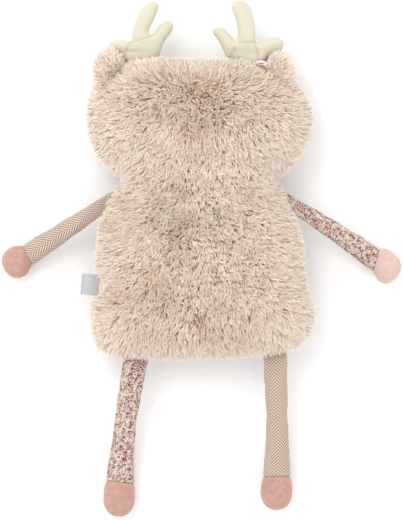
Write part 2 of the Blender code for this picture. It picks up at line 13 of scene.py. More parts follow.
import bmesh
import bpy
import numpy as np
from mathutils import Matrix, Vector, kdtree, noise


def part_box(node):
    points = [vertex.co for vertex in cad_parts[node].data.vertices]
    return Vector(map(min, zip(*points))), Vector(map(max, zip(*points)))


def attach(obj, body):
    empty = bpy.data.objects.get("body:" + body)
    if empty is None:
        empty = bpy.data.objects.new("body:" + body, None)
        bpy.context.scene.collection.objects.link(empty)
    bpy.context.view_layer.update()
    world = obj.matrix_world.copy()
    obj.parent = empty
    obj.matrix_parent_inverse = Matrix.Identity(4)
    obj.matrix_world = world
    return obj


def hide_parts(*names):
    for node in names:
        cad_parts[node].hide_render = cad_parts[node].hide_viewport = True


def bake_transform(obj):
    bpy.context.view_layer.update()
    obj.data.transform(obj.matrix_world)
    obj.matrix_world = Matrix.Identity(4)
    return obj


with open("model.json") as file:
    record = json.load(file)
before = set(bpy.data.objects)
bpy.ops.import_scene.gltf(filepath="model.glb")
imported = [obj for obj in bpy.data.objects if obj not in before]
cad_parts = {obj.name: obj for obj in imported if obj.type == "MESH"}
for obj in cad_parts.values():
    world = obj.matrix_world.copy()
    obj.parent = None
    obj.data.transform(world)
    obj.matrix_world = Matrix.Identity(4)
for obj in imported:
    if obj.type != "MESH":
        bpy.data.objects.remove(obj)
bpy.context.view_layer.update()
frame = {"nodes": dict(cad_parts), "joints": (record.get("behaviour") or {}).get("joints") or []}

LOG = logging.getLogger("plush_deer")

MM = 0.001
IMAGE_WIDTH, IMAGE_HEIGHT = 403, 520
METRES_PER_PIXEL = 0.96 * MM
IMAGE_MIDDLE = (201.5, 259.4)
FLOOR_CLEARANCE = 0.5 * MM


class Slot(Enum):
    """The record's material slots."""

    FUR = "fur"
    STUFFING = "stuffing"
    VELOUR = "velour"
    HERRINGBONE = "herringbone"
    FLORAL = "floral"
    NEEDLECORD = "needlecord"
    THREAD = "thread"
    SATIN = "satin"
    LABEL = "label"


class Side(Enum):
    """The toy's two sides, as seen from behind."""

    LEFT = "left"
    RIGHT = "right"


def linear(hex_colour: str, alpha: float = 1.0) -> tuple[float, float, float, float]:
    """Turn an sRGB hex colour to linear light.

    Args:
        hex_colour: six hex digits after a #.
        alpha: the fourth value.

    Returns:
        Red, green and blue from 0 to 1 in linear light, and alpha.
    """
    parts = [int(hex_colour[i:i + 2], 16) / 255 for i in (1, 3, 5)]
    r, g, b = (p / 12.92 if p <= 0.04045 else ((p + 0.055) / 1.055) ** 2.4 for p in parts)
    return r, g, b, alpha


def from_photo(px: float, py: float) -> tuple[float, float]:
    """Turn a place in the photograph's frame to X and Y in metres.

    Args:
        px: pixels from the left edge.
        py: pixels from the top edge.

    Returns:
        X and Y.
    """
    return (px - IMAGE_MIDDLE[0]) * METRES_PER_PIXEL, (IMAGE_MIDDLE[1] - py) * METRES_PER_PIXEL


# ---------------------------------------------------------------- finishes


def add(tree: bpy.types.NodeTree, kind: str, settings: dict | None = None, **inputs) -> bpy.types.Node:
    """Add a node to a material with its settings, values and links.

    Args:
        tree: the node tree.
        kind: the node's type name.
        settings: attributes of the node; "stops" fills a colour ramp with (place, colour).
        inputs: what each input takes, by its number as in_0, in_1, or by its name with _ for
            a space: a value, or the output socket that feeds it.

    Returns:
        The new node.
    """
    made = tree.nodes.new(kind)
    settings = dict(settings or {})
    stops = settings.pop("stops", None)
    for key, value in settings.items():
        setattr(made, key, value)
    if stops:
        ramp = made.color_ramp
        while len(ramp.elements) < len(stops):
            ramp.elements.new(1.0)
        for element, (place, colour) in zip(ramp.elements, stops):
            element.position, element.color = place, colour
        if settings.get("constant"):
            ramp.interpolation = "CONSTANT"
    for key, value in inputs.items():
        socket = made.inputs[int(key[3:]) if key.startswith("in_") else key.replace("_", " ")]
        if isinstance(value, bpy.types.NodeSocket):
            tree.links.new(value, socket)
        else:
            socket.default_value = value
    return made


def sums(tree: bpy.types.NodeTree, operation: str, a, b=0.0, c=0.0) -> bpy.types.NodeSocket:
    """One step of arithmetic in a material; a, b and c are values or sockets."""
    return add(tree, "ShaderNodeMath", {"operation": operation}, in_0=a, in_1=b, in_2=c).outputs[0]


def mixed(tree: bpy.types.NodeTree, share, a, b, blend: str = "MIX") -> bpy.types.NodeSocket:
    """The colour between a and b at a share, each a value or a socket."""
    made = add(tree, "ShaderNodeMix", {"data_type": "RGBA", "blend_type": blend}, in_0=share, in_6=a, in_7=b)
    return made.outputs[2]


@dataclass(frozen=True)
class Finish:
    """A material that every piece of one cloth shares."""

    name: str
    slot: Slot
    roughness: float = 0.9
    specular: float = 0.2
    sheen: float = 0.0
    sheen_tint: str = "#FFFFFF"

    def material(self) -> bpy.types.Material:
        """The material, made on its first use."""
        found = bpy.data.materials.get(self.name)
        if found is None:
            found = bpy.data.materials.new(self.name)
            found.use_nodes = True
            tree = found.node_tree
            shader = tree.nodes["Principled BSDF"]
            shader.inputs["Roughness"].default_value = self.roughness
            shader.inputs["Specular IOR Level"].default_value = self.specular
            shader.inputs["Sheen Weight"].default_value = self.sheen
            shader.inputs["Sheen Roughness"].default_value = 0.5
            shader.inputs["Sheen Tint"].default_value = linear(self.sheen_tint)
            self.dress(tree, shader)
        return found

    def dress(self, tree: bpy.types.NodeTree, shader: bpy.types.Node) -> None:
        """Add the nodes of this finish; the plain one has none."""


@dataclass(frozen=True)
class PileFinish(Finish):
    """Modacrylic long-pile fur, knitted, brushed and tip-sheared.

    To the eye: matt fibres, dark and brownish where the pile opens down to its roots, pale and
    creamy at the tips, with tufts that each have their own tone. The outline is painted paler
    still, a painted rim light for the light that comes through the fibres there; listed patches
    are painted darker and browner as painted shade.
    """

    root: str = "#DBA270"
    low: str = "#F4DABB"
    middle: str = "#FAE9D8"
    tip: str = "#FFF9F0"
    # This brown is mixed in per tuft for a random warmth, and at the listed tints as painted shade.
    brown_tone_and_shade: str = "#D2A47C"
    # The near-white of the painted rim light at the pile's outline.
    rim: str = "#FFFDF5"

    def dress(self, tree: bpy.types.NodeTree, shader: bpy.types.Node) -> None:
        """Colour each fibre along its length and each tuft by its own tone."""
        along = add(tree, "ShaderNodeAttribute", {"attribute_name": "along"}).outputs["Fac"]
        tone = add(tree, "ShaderNodeAttribute", {"attribute_name": "tone"}).outputs["Fac"]
        warmth_and_shade = add(tree, "ShaderNodeAttribute", {"attribute_name": "warmth_and_shade"}).outputs["Fac"]
        fibre = add(tree, "ShaderNodeValToRGB", {"stops": (
            (0.0, linear(self.root)), (0.2, linear(self.low)), (0.48, linear(self.middle)), (1.0, linear(self.tip)))}, Fac=along)
        # Random warmth per tuft, and painted shade at the listed tints.
        tone_shade_and_rim = mixed(tree, warmth_and_shade, fibre.outputs[0], linear(self.brown_tone_and_shade))
        # Painted rim light: fibres at the outline are mixed towards the near-white.
        pale = add(tree, "ShaderNodeAttribute", {"attribute_name": "pale"}).outputs["Fac"]
        tone_shade_and_rim = mixed(tree, pale, tone_shade_and_rim, linear(self.rim))
        toned = add(tree, "ShaderNodeHueSaturation", Value=tone, Color=tone_shade_and_rim)
        tree.links.new(toned.outputs[0], shader.inputs["Base Color"])


@dataclass(frozen=True)
class BackingFinish(Finish):
    """The knitted ground of the fur with its dense short under-fibres."""

    colour: str = "#D2AC88"
    shade: str = "#BB936F"

    def dress(self, tree: bpy.types.NodeTree, shader: bpy.types.Node) -> None:
        """Mottle the ground at the size of the tufts, about 3 mm."""
        place = add(tree, "ShaderNodeTexCoord").outputs["Object"]
        mottle = add(tree, "ShaderNodeTexNoise", Vector=place, Scale=330.0, Detail=4.0)
        colour = mixed(tree, mottle.outputs["Fac"], linear(self.colour), linear(self.shade))
        bump = add(tree, "ShaderNodeBump", Height=mottle.outputs["Fac"], Strength=0.8, Distance=1.0 * MM)
        tree.links.new(colour, shader.inputs["Base Color"])
        tree.links.new(bump.outputs[0], shader.inputs["Normal"])


@dataclass(frozen=True)
class VelourFinish(Finish):
    """Knitted polyester velour with a cropped pile.

    To the eye: soft, matt, with slow shading where the pile leans and a paler bloom at edges.
    """

    colour: str = "#BB9589"
    shade: str = "#A87C6E"
    bloom: str = "#D0B1A5"

    def dress(self, tree: bpy.types.NodeTree, shader: bpy.types.Node) -> None:
        """Lay slow patches over a pile grain of about 1 mm."""
        place = add(tree, "ShaderNodeTexCoord").outputs["Object"]
        patch = add(tree, "ShaderNodeTexNoise", Vector=place, Scale=190.0, Detail=6.0, Roughness=0.75).outputs["Fac"]
        patch = add(tree, "ShaderNodeMapRange", in_0=patch, in_1=0.36, in_2=0.64).outputs[0]
        grain = add(tree, "ShaderNodeTexNoise", Vector=place, Scale=1000.0, Detail=3.0).outputs["Fac"]
        speck = mixed(tree, patch, linear(self.colour), linear(self.shade))
        colour = mixed(tree, sums(tree, "MULTIPLY", grain, 0.4), speck, linear(self.bloom))
        bump = add(tree, "ShaderNodeBump", Height=grain, Strength=0.35, Distance=0.3 * MM)
        tree.links.new(colour, shader.inputs["Base Color"])
        tree.links.new(bump.outputs[0], shader.inputs["Normal"])


@dataclass(frozen=True)
class HerringboneFinish(Finish):
    """Woven wool-blend herringbone twill, on a UV map in millimetres.

    To the eye: columns of slanting lines that turn at each column's edge, in two close tones.
    The real lines are about 1.6 mm apart; they are drawn at 3.2 mm, as the photograph shows.
    """

    light: str = "#CFC0B2"
    dark: str = "#8A6F60"
    column: float = 6.8
    pitch: float = 3.2
    slope: float = 1.05

    def dress(self, tree: bpy.types.NodeTree, shader: bpy.types.Node) -> None:
        """Turn U into a zigzag, add it to V and cut the sum into lines that break at each column."""
        uv = add(tree, "ShaderNodeUVMap", {"uv_map": "cloth"}).outputs[0]
        parts = add(tree, "ShaderNodeSeparateXYZ", Vector=uv)
        across, up = parts.outputs[0], parts.outputs[1]
        zigzag = sums(tree, "MULTIPLY", sums(tree, "PINGPONG", across, self.column), self.slope)
        odd = sums(tree, "FLOORED_MODULO", sums(tree, "FLOOR", sums(tree, "DIVIDE", across, self.column)), 2.0)
        level = sums(tree, "MULTIPLY_ADD", odd, self.pitch / 2, sums(tree, "SUBTRACT", up, zigzag))
        phase = sums(tree, "DIVIDE", level, self.pitch)
        lines = sums(tree, "PINGPONG", phase, 0.5)
        edge = add(tree, "ShaderNodeMapRange", {"interpolation_type": "SMOOTHSTEP"}, in_0=lines, in_1=0.14, in_2=0.30)
        yarn = add(tree, "ShaderNodeTexNoise", Vector=uv, Scale=2.2, Detail=3.0).outputs["Fac"]
        share = sums(tree, "ADD", edge.outputs[0], sums(tree, "MULTIPLY_ADD", yarn, 0.5, -0.25))
        colour = mixed(tree, add(tree, "ShaderNodeClamp", Value=share).outputs[0], linear(self.dark), linear(self.light))
        bump = add(tree, "ShaderNodeBump", Height=share, Strength=0.5, Distance=0.25 * MM)
        tree.links.new(colour, shader.inputs["Base Color"])
        tree.links.new(bump.outputs[0], shader.inputs["Normal"])


@dataclass(frozen=True)
class FloralFinish(Finish):
    """Printed cotton lawn with a ditsy flower print, on a UV map in millimetres.

    To the eye: a cream ground almost hidden by small posies in dusty pink with plum curls, tan
    leaves and dark dots, 1 to 5 mm across. The print is a plain generic one.
    """

    ground: str = "#D6CCBE"
    stem: str = "#8F7C69"
    leaf: tuple[tuple[float, str], ...] = ((0.0, "#846756"), (0.46, "#A88F7A"), (0.55, "#C5B4A1"))
    posy: tuple[tuple[float, str], ...] = (
        (0.0, "#56242E"), (0.44, "#97616A"), (0.48, "#C29A98"), (0.53, "#D5B9B3"), (0.60, "#B28585"))
    dot: tuple[tuple[float, str], ...] = ((0.0, "#44231F"), (0.5, "#68493A"))

    def dress(self, tree: bpy.types.NodeTree, shader: bpy.types.Node) -> None:
        """Draw curling stems, then leaves, posies and dots, each in cells that a slow noise bends."""
        uv = add(tree, "ShaderNodeUVMap", {"uv_map": "cloth"}).outputs[0]
        bend = add(tree, "ShaderNodeTexNoise", Vector=uv, Scale=0.7, Detail=1.0).outputs["Color"]
        place = add(tree, "ShaderNodeVectorMath", {"operation": "MULTIPLY_ADD"}, in_0=bend, in_1=(2.6, 2.6, 0.0),
                    in_2=uv).outputs[0]
        fine = add(tree, "ShaderNodeTexNoise", Vector=place, Scale=0.75, Detail=2.0, Roughness=0.65).outputs["Fac"]
        curl = add(tree, "ShaderNodeTexNoise", Vector=uv, Scale=0.30, Detail=1.0).outputs["Fac"]
        line = sums(tree, "LESS_THAN", sums(tree, "PINGPONG", sums(tree, "MULTIPLY", curl, 8.0), 0.5), 0.13)
        colour = mixed(tree, line, linear(self.ground), linear(self.stem))
        for cell, spread, share, dyes in ((2.9, 0.42, 0.56, self.leaf), (5.0, 0.40, 0.64, self.posy),
                                          (1.9, 0.33, 0.36, self.dot)):
            cells = add(tree, "ShaderNodeTexVoronoi", {"voronoi_dimensions": "2D"}, Vector=place, Scale=1.0 / cell)
            pick = add(tree, "ShaderNodeSeparateColor", Color=cells.outputs["Color"])
            reach = sums(tree, "MULTIPLY_ADD", pick.outputs[0], spread * 0.5, spread * 0.75)
            inside = sums(tree, "LESS_THAN", cells.outputs["Distance"], reach)
            shown = sums(tree, "LESS_THAN", pick.outputs[1], share)
            tone = sums(tree, "MULTIPLY_ADD", pick.outputs[2], 0.10, sums(tree, "SUBTRACT", fine, 0.05))
            stops = tuple((place_on, linear(dye)) for place_on, dye in dyes)
            ramp = add(tree, "ShaderNodeValToRGB", {"stops": stops}, Fac=tone)
            ramp.color_ramp.interpolation = "CONSTANT"
            colour = mixed(tree, sums(tree, "MULTIPLY", inside, shown), colour, ramp.outputs[0])
        weave = add(tree, "ShaderNodeTexNoise", Vector=uv, Scale=3.0, Detail=2.0).outputs["Fac"]
        bump = add(tree, "ShaderNodeBump", Height=weave, Strength=0.3, Distance=0.15 * MM)
        tree.links.new(colour, shader.inputs["Base Color"])
        tree.links.new(bump.outputs[0], shader.inputs["Normal"])


@dataclass(frozen=True)
class NeedlecordFinish(Finish):
    """Cotton needlecord, 14 ribs to the inch, cut pile.

    To the eye: fine ribs across the antler, 1.8 mm apart, pale on top and darker between,
    the darker grooves being painted shade.
    """

    colour: str = "#D4D0BC"
    groove_shade: str = "#C9C4AE"
    # The brown-gold of the painted shade in the tucks and at the feet of the tines.
    fold: str = "#AE8A50"
    pitch: float = 1.8 * MM

    def dress(self, tree: bpy.types.NodeTree, shader: bpy.types.Node) -> None:
        """Raise a rib for each 1.8 mm of Y."""
        place = add(tree, "ShaderNodeTexCoord").outputs["Object"]
        parts = add(tree, "ShaderNodeSeparateXYZ", Vector=place)
        wander = add(tree, "ShaderNodeTexNoise", Vector=place, Scale=120.0, Detail=1.0).outputs["Fac"]
        level = sums(tree, "MULTIPLY_ADD", wander, 0.6 * MM, parts.outputs[1])
        rib = sums(tree, "PINGPONG", sums(tree, "DIVIDE", level, self.pitch), 0.5)
        round_rib = sums(tree, "POWER", sums(tree, "MULTIPLY", rib, 2.0), 0.6)
        grain = add(tree, "ShaderNodeTexNoise", Vector=place, Scale=1600.0, Detail=2.0).outputs["Fac"]
        share = sums(tree, "MULTIPLY_ADD", grain, 0.3, sums(tree, "MULTIPLY", round_rib, 0.8))
        # Painted shade: the grooves between the ribs take the darker colour.
        colour = mixed(tree, share, linear(self.groove_shade), linear(self.colour))
        # Painted shade: the crease attribute darkens the cord towards brown-gold in the tucks.
        tuck = add(tree, "ShaderNodeAttribute", {"attribute_name": "crease"}).outputs["Fac"]
        colour = mixed(tree, sums(tree, "MULTIPLY", tuck, 0.7), colour, linear(self.fold))
        bump = add(tree, "ShaderNodeBump", Height=round_rib, Strength=0.5, Distance=0.4 * MM)
        tree.links.new(colour, shader.inputs["Base Color"])
        tree.links.new(bump.outputs[0], shader.inputs["Normal"])


@dataclass(frozen=True)
class ThreadFinish(Finish):
    """Rayon embroidery thread laid in satin stitch, 0.4 mm a thread."""

    colour: str = "#2A2322"
    # The lighter colour, painted along the middle of each thread as a highlight.
    shade: str = "#4A3F3C"

    def dress(self, tree: bpy.types.NodeTree, shader: bpy.types.Node) -> None:
        """Lay one thread beside the next along X, each with a painted highlight along its middle."""
        place = add(tree, "ShaderNodeTexCoord").outputs["Object"]
        parts = add(tree, "ShaderNodeSeparateXYZ", Vector=place)
        lay = sums(tree, "PINGPONG", sums(tree, "DIVIDE", parts.outputs[0], 0.4 * MM), 0.5)
        # Painted highlight: each thread is lighter along its middle, darker at its edges.
        colour = mixed(tree, sums(tree, "MULTIPLY", lay, 2.0), linear(self.colour), linear(self.shade))
        bump = add(tree, "ShaderNodeBump", Height=lay, Strength=0.8, Distance=0.2 * MM)
        tree.links.new(colour, shader.inputs["Base Color"])
        tree.links.new(bump.outputs[0], shader.inputs["Normal"])


@dataclass(frozen=True)
class SatinFinish(Finish):
    """Woven polyester satin ribbon: smooth, with a soft gloss and a faint 0.3 mm grain."""

    colour: str = "#FBE3E3"
    shade: str = "#F5D3D5"

    def dress(self, tree: bpy.types.NodeTree, shader: bpy.types.Node) -> None:
        """Shade the weave a little along the ribbon."""
        place = add(tree, "ShaderNodeTexCoord").outputs["Object"]
        grain = add(tree, "ShaderNodeTexNoise", Vector=place, Scale=900.0, Detail=3.0).outputs["Fac"]
        colour = mixed(tree, grain, linear(self.colour), linear(self.shade))
        bump = add(tree, "ShaderNodeBump", Height=grain, Strength=0.2, Distance=0.1 * MM)
        tree.links.new(colour, shader.inputs["Base Color"])
        tree.links.new(bump.outputs[0], shader.inputs["Normal"])


@dataclass(frozen=True)
class FloorFinish(Finish):
    """A sheet of white studio paper."""

    colour: str = "#F6F6F6"
    glow: float = 0.045

    def dress(self, tree: bpy.types.NodeTree, shader: bpy.types.Node) -> None:
        """One even tone with the paper's faint tooth, lit a little from below as on a light table."""
        shader.inputs["Emission Color"].default_value = linear(self.colour)
        shader.inputs["Emission Strength"].default_value = self.glow
        place = add(tree, "ShaderNodeTexCoord").outputs["Object"]
        tooth = add(tree, "ShaderNodeTexNoise", Vector=place, Scale=400.0, Detail=2.0).outputs["Fac"]
        colour = mixed(tree, tooth, linear(self.colour), linear("#F4F4F4"))
        tree.links.new(colour, shader.inputs["Base Color"])


FUR = PileFinish("modacrylic_long_pile", Slot.FUR, roughness=0.8, specular=0.15, sheen=0.15, sheen_tint="#FFF4E4")
GROUND = BackingFinish("knitted_fur_ground", Slot.FUR)
VELOUR = VelourFinish("cropped_polyester_velour", Slot.VELOUR, sheen=0.35, sheen_tint="#FFE9E2")
HERRINGBONE = HerringboneFinish("woven_wool_herringbone", Slot.HERRINGBONE, sheen=0.1)
FLORAL = FloralFinish("printed_cotton_lawn", Slot.FLORAL, roughness=0.85)
NEEDLECORD = NeedlecordFinish("cotton_needlecord", Slot.NEEDLECORD, sheen=0.2, sheen_tint="#FFFCEB")
THREAD = ThreadFinish("rayon_satin_stitch", Slot.THREAD, roughness=0.45, specular=0.5)
# A lighter copy of the same velour for the right hand: painted light, as that hand lies better lit.
LIT_HAND_VELOUR = VelourFinish("velour_painted_lighter", Slot.VELOUR, sheen=0.35, sheen_tint="#FFE9E2", colour="#D2B6AC",
                           shade="#C4A398", bloom="#DFCAC0")
NOSE_VELOUR = VelourFinish("nose_velour", Slot.VELOUR, sheen=0.3, colour="#D9A297", shade="#C98E84")
SATIN = SatinFinish("polyester_satin_ribbon", Slot.SATIN, roughness=0.38, specular=0.5, sheen=0.1)
RIBBON_SHADE = SatinFinish("satin_ribbon_fold", Slot.SATIN, roughness=0.45, specular=0.4, colour="#E2A3AA", shade="#D6929B")
# The white satin is coloured mid grey, darker than white: painted shade.
LABEL_SATIN = SatinFinish("white_acetate_satin", Slot.LABEL, roughness=0.4, specular=0.45, colour="#BBBBBE", shade="#AAAAAE")
FIBREFILL = BackingFinish("polyester_fibrefill", Slot.STUFFING, colour="#F4F4F0", shade="#DEDEDA")
PAPER = FloorFinish("studio_paper", Slot.LABEL, roughness=1.0, specular=0.0)


# ---------------------------------------------------------------- pieces


def finished(name: str, mesh: bpy.types.Mesh, finish: Finish, body: str | None, *nodes: str) -> bpy.types.Object:
    """Put a mesh in the scene as a piece and report it.

    Args:
        name: the piece's name.
        mesh: its mesh, in place.
        finish: what it is made of.
        body: the CAD body that it rides on, or None where it rides on none.
        nodes: the CAD nodes that it stands for.

    Returns:
        The piece.
    """
    mesh.name = name
    mesh.materials.clear()
    mesh.materials.append(finish.material())
    made = bpy.data.objects.new(name, mesh)
    bpy.context.scene.collection.objects.link(made)
    if body:
        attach(made, body)
    if nodes:
        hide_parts(*nodes)
    triangles = sum(len(p.vertices) - 2 for p in mesh.polygons) if len(mesh.polygons) < 20000 else len(mesh.polygons)
    LOG.info("%s: %s, about %d faces, on %s", name, finish.name, triangles, body)
    return made


def merged_copy(*nodes: str) -> bmesh.types.BMesh:
    """A copy of one or more CAD nodes' triangles with their doubles merged."""
    bm = bmesh.new()
    for name in nodes:
        bm.from_mesh(frame["nodes"][name].data)
    bmesh.ops.remove_doubles(bm, verts=bm.verts, dist=1e-6)
    return bm


def largest_island(bm: bmesh.types.BMesh) -> None:
    """Delete all but the island of faces that spans the most."""
    bm.verts.ensure_lookup_table()
    left, best = set(bm.verts), []
    while left:
        stack, island = [left.pop()], []
        while stack:
            vert = stack.pop()
            island.append(vert)
            for edge in vert.link_edges:
                other = edge.other_vert(vert)
                if other in left:
                    left.discard(other)
                    stack.append(other)
        if len(island) > len(best):
            best = island
    keep = set(best)
    bmesh.ops.delete(bm, geom=[v for v in bm.verts if v not in keep], context="VERTS")


def even_skin(bm: bmesh.types.BMesh, voxel: float, rounds: int) -> bmesh.types.BMesh:
    """One even closed skin round what a bmesh holds, smoothed; the bmesh is freed.

    Args:
        bm: the shapes.
        voxel: the size of the skin's faces, in metres.
        rounds: how often each corner moves to the mean of those beside it.

    Returns:
        The skin.
    """
    mesh = bpy.data.meshes.new("raw")
    bm.to_mesh(mesh)
    bm.free()
    raw = bpy.data.objects.new("raw", mesh)
    bpy.context.scene.collection.objects.link(raw)
    remesh = raw.modifiers.new("even", "REMESH")
    remesh.mode, remesh.voxel_size = "VOXEL", voxel
    bpy.context.view_layer.update()
    even = bpy.data.meshes.new_from_object(raw.evaluated_get(bpy.context.evaluated_depsgraph_get()))
    bpy.data.objects.remove(raw)
    bpy.data.meshes.remove(mesh)
    bm = bmesh.new()
    bm.from_mesh(even)
    bpy.data.meshes.remove(even)
    largest_island(bm)
    for _ in range(rounds):
        bmesh.ops.smooth_vert(bm, verts=bm.verts, factor=0.5, use_axis_x=True, use_axis_y=True, use_axis_z=True)
    bmesh.ops.recalc_face_normals(bm, faces=bm.faces)
    return bm


def plump(voxel: float, rounds: int, *nodes: str) -> bmesh.types.BMesh:
    """One even skin round CAD nodes: the size of its faces, how often it is smoothed, the nodes."""
    return even_skin(merged_copy(*nodes), voxel, rounds)


def to_mesh(bm: bmesh.types.BMesh, name: str, smooth: bool = True) -> bpy.types.Mesh:
    """Turn a bmesh to a mesh and free it.

    Args:
        bm: the bmesh.
        name: the mesh's name.
        smooth: whether its faces are shaded smooth.

    Returns:
        The mesh.
    """
    mesh = bpy.data.meshes.new(name)
    bm.to_mesh(mesh)
    bm.free()
    mesh.polygons.foreach_set("use_smooth", [smooth] * len(mesh.polygons))
    return mesh


# ---------------------------------------------------------------- fur


@dataclass(frozen=True)
class Comb:
    """Which way the pile lies, from places listed in the photograph's frame.

    Each row is px, py, the heading in degrees (0 to the right, 90 up) and the lean from
    upright in degrees, which ease scales. droop is how strongly the sides fall to the floor.
    """

    rows: tuple[tuple[float, float, float, float], ...]
    droop: float = 0.55
    power: float = 3.0
    ease: float = 0.80

    def at(self, places: np.ndarray) -> tuple[np.ndarray, np.ndarray]:
        """The heading and lean at places.

        Args:
            places: an array of points.

        Returns:
            Unit headings in the plan, and leans in radians.
        """
        knots = np.array([from_photo(px, py) for px, py, _, _ in self.rows])
        turns = np.radians([row[2] for row in self.rows])
        leans = np.radians([row[3] for row in self.rows])
        away = np.linalg.norm(places[:, None, :2] - knots[None], axis=2) + 2 * MM
        weights = away ** -self.power
        weights /= weights.sum(1, keepdims=True)
        heading = weights @ np.stack((np.cos(turns), np.sin(turns)), 1)
        heading /= np.linalg.norm(heading, axis=1, keepdims=True) + 1e-9
        return heading, weights @ leans * self.ease


@dataclass(frozen=True)
class Pile:
    """Long pile grown on a skin as tapering ribbons that bend once and gather into tufts.

    Where the comb leaves the pile upright each tuft curls over its own way.
    The fibres are far finer than a pixel; each ribbon stands for a lock of them, 0.38 mm wide.
    """

    length: float = 9.6 * MM
    width: float = 0.38 * MM
    tuft: float = 1.4 * MM
    lock: float = 3.6 * MM
    gather: float = 0.90
    wander: float = 30.0
    front_share: float = 0.22
    stand: float = 0.55
    upright: float = 36.0
    least: float = 0.68
    seed: int = 5
    thick: tuple[tuple[float, float, float, float], ...] = ()

    def scatter(self, mesh: bpy.types.Mesh, count: int, rng: np.random.Generator) -> tuple[np.ndarray, np.ndarray]:
        """Pick roots all over a skin, fewer underneath.

        Args:
            mesh: the skin.
            count: how many.
            rng: the source of chance.

        Returns:
            The roots and the outward normals there.
        """
        mesh.calc_loop_triangles()
        corners, normals = (np.empty(len(mesh.vertices) * 3, np.float32) for _ in range(2))
        mesh.vertices.foreach_get("co", corners)
        mesh.vertices.foreach_get("normal", normals)
        corners, normals = corners.reshape(-1, 3).astype(float), normals.reshape(-1, 3).astype(float)
        triangles = np.empty(len(mesh.loop_triangles) * 3, np.int32)
        mesh.loop_triangles.foreach_get("vertices", triangles)
        triangles = triangles.reshape(-1, 3)
        a, b, c = (corners[triangles[:, k]] for k in range(3))
        cross = np.cross(b - a, c - a)
        area = np.linalg.norm(cross, axis=1)
        upness = cross[:, 2] / np.maximum(area, 1e-15)
        weight = area * np.where(upness < -0.55, self.front_share, 1.0)
        for px, py, reach, extra in self.thick:
            away = np.linalg.norm(a[:, :2] - np.array(from_photo(px, py)), axis=1) / (reach * METRES_PER_PIXEL)
            weight *= 1 + extra * np.exp(-away ** 2) * (upness > 0)
        picked = triangles[rng.choice(len(triangles), count, p=weight / weight.sum())]
        u, v = rng.random(count), rng.random(count)
        flip = u + v > 1
        u[flip], v[flip] = 1 - u[flip], 1 - v[flip]
        shares = (1 - u - v, u, v)
        roots = sum(corners[picked[:, k]] * share[:, None] for k, share in enumerate(shares))
        out = sum(normals[picked[:, k]] * share[:, None] for k, share in enumerate(shares))
        return roots, out / np.linalg.norm(out, axis=1, keepdims=True)

    def paths(self, roots: np.ndarray, out: np.ndarray, comb: Comb, turn: np.ndarray, lift: np.ndarray,
              stretch: np.ndarray) -> np.ndarray:
        """The three points of each fibre before it is gathered.

        Args:
            roots: where they start.
            out: the outward normals.
            comb: which way the pile lies.
            turn: what each heading is turned by, in radians.
            lift: what each lean is changed by, in radians.
            stretch: what each length is scaled by.

        Returns:
            An array of points, three to a fibre.
        """
        heading, lean = comb.at(roots)
        cos, sin = np.cos(turn), np.sin(turn)
        way = np.stack((heading[:, 0] * cos - heading[:, 1] * sin, heading[:, 0] * sin + heading[:, 1] * cos,
                        np.full(len(roots), -comb.droop)), 1)
        way -= out * (way * out).sum(1, keepdims=True)
        way /= np.linalg.norm(way, axis=1, keepdims=True) + 1e-9
        level = self.stand + (1 - self.stand) * np.abs(out[:, 2])
        lean = np.clip((np.maximum(lean, self.least) + lift) * level, 0.05, 1.45)
        points = [roots]
        step = (self.length * stretch / 2)[:, None]
        for bend in (0.70, 1.18):
            angle = np.clip(lean * bend, 0.0, 1.62)[:, None]
            points.append(points[-1] + (out * np.cos(angle) + way * np.sin(angle)) * step)
        return np.stack(points, 1)

    def nearest(self, roots: np.ndarray, centres: np.ndarray) -> np.ndarray:
        """For each root, the number of the centre that is nearest."""
        tree = kdtree.KDTree(len(centres))
        for i, place in enumerate(centres):
            tree.insert(place, i)
        tree.balance()
        return np.fromiter((tree.find(place)[1] for place in roots), int, len(roots))

    def grow(self, mesh: bpy.types.Mesh, count: int, comb: Comb, short: float = 1.0) -> dict[str, np.ndarray]:
        """Grow the pile on a skin.

        Args:
            mesh: the skin.
            count: how many fibres.
            comb: which way they lie.
            short: scales the pile's length.

        Returns:
            The fibres' paths, outward normals, tones, warmth and roll.
        """
        rng = np.random.default_rng(self.seed)
        roots, out = self.scatter(mesh, count, rng)
        area = sum(p.area for p in mesh.polygons)
        lock_at = rng.choice(count, max(8, int(area / self.lock ** 2)), replace=False)
        tuft_at = rng.choice(count, max(16, int(area / self.tuft ** 2)), replace=False)
        wander = math.radians(self.wander)

        lock_turn = rng.normal(0, wander, len(lock_at))
        lock_lift = rng.normal(0, 0.16, len(lock_at))
        lock_long = np.clip(rng.normal(1.0, 0.08, len(lock_at)), 0.7, 1.2) * short
        lock_path = self.paths(roots[lock_at], out[lock_at], comb, lock_turn, lock_lift, lock_long)
        of_lock = self.nearest(roots[tuft_at], roots[lock_at])

        curl = np.clip(1 - comb.at(roots[tuft_at])[1] / math.radians(self.upright), 0.0, 1.0)
        tuft_turn = lock_turn[of_lock] * 0.8 + rng.normal(0, wander + 3.0 * curl, len(tuft_at))
        tuft_lift = lock_lift[of_lock] + rng.normal(0, 0.19, len(tuft_at))
        tuft_long = np.clip(rng.normal(1.0, 0.12, len(tuft_at)), 0.6, 1.3) * short
        tuft_path = self.paths(roots[tuft_at], out[tuft_at], comb, tuft_turn, tuft_lift, tuft_long)
        tuft_path += np.array((0.0, 0.08, 0.24))[None, :, None] * (lock_path[of_lock] - tuft_path)
        of_tuft = self.nearest(roots, roots[tuft_at])

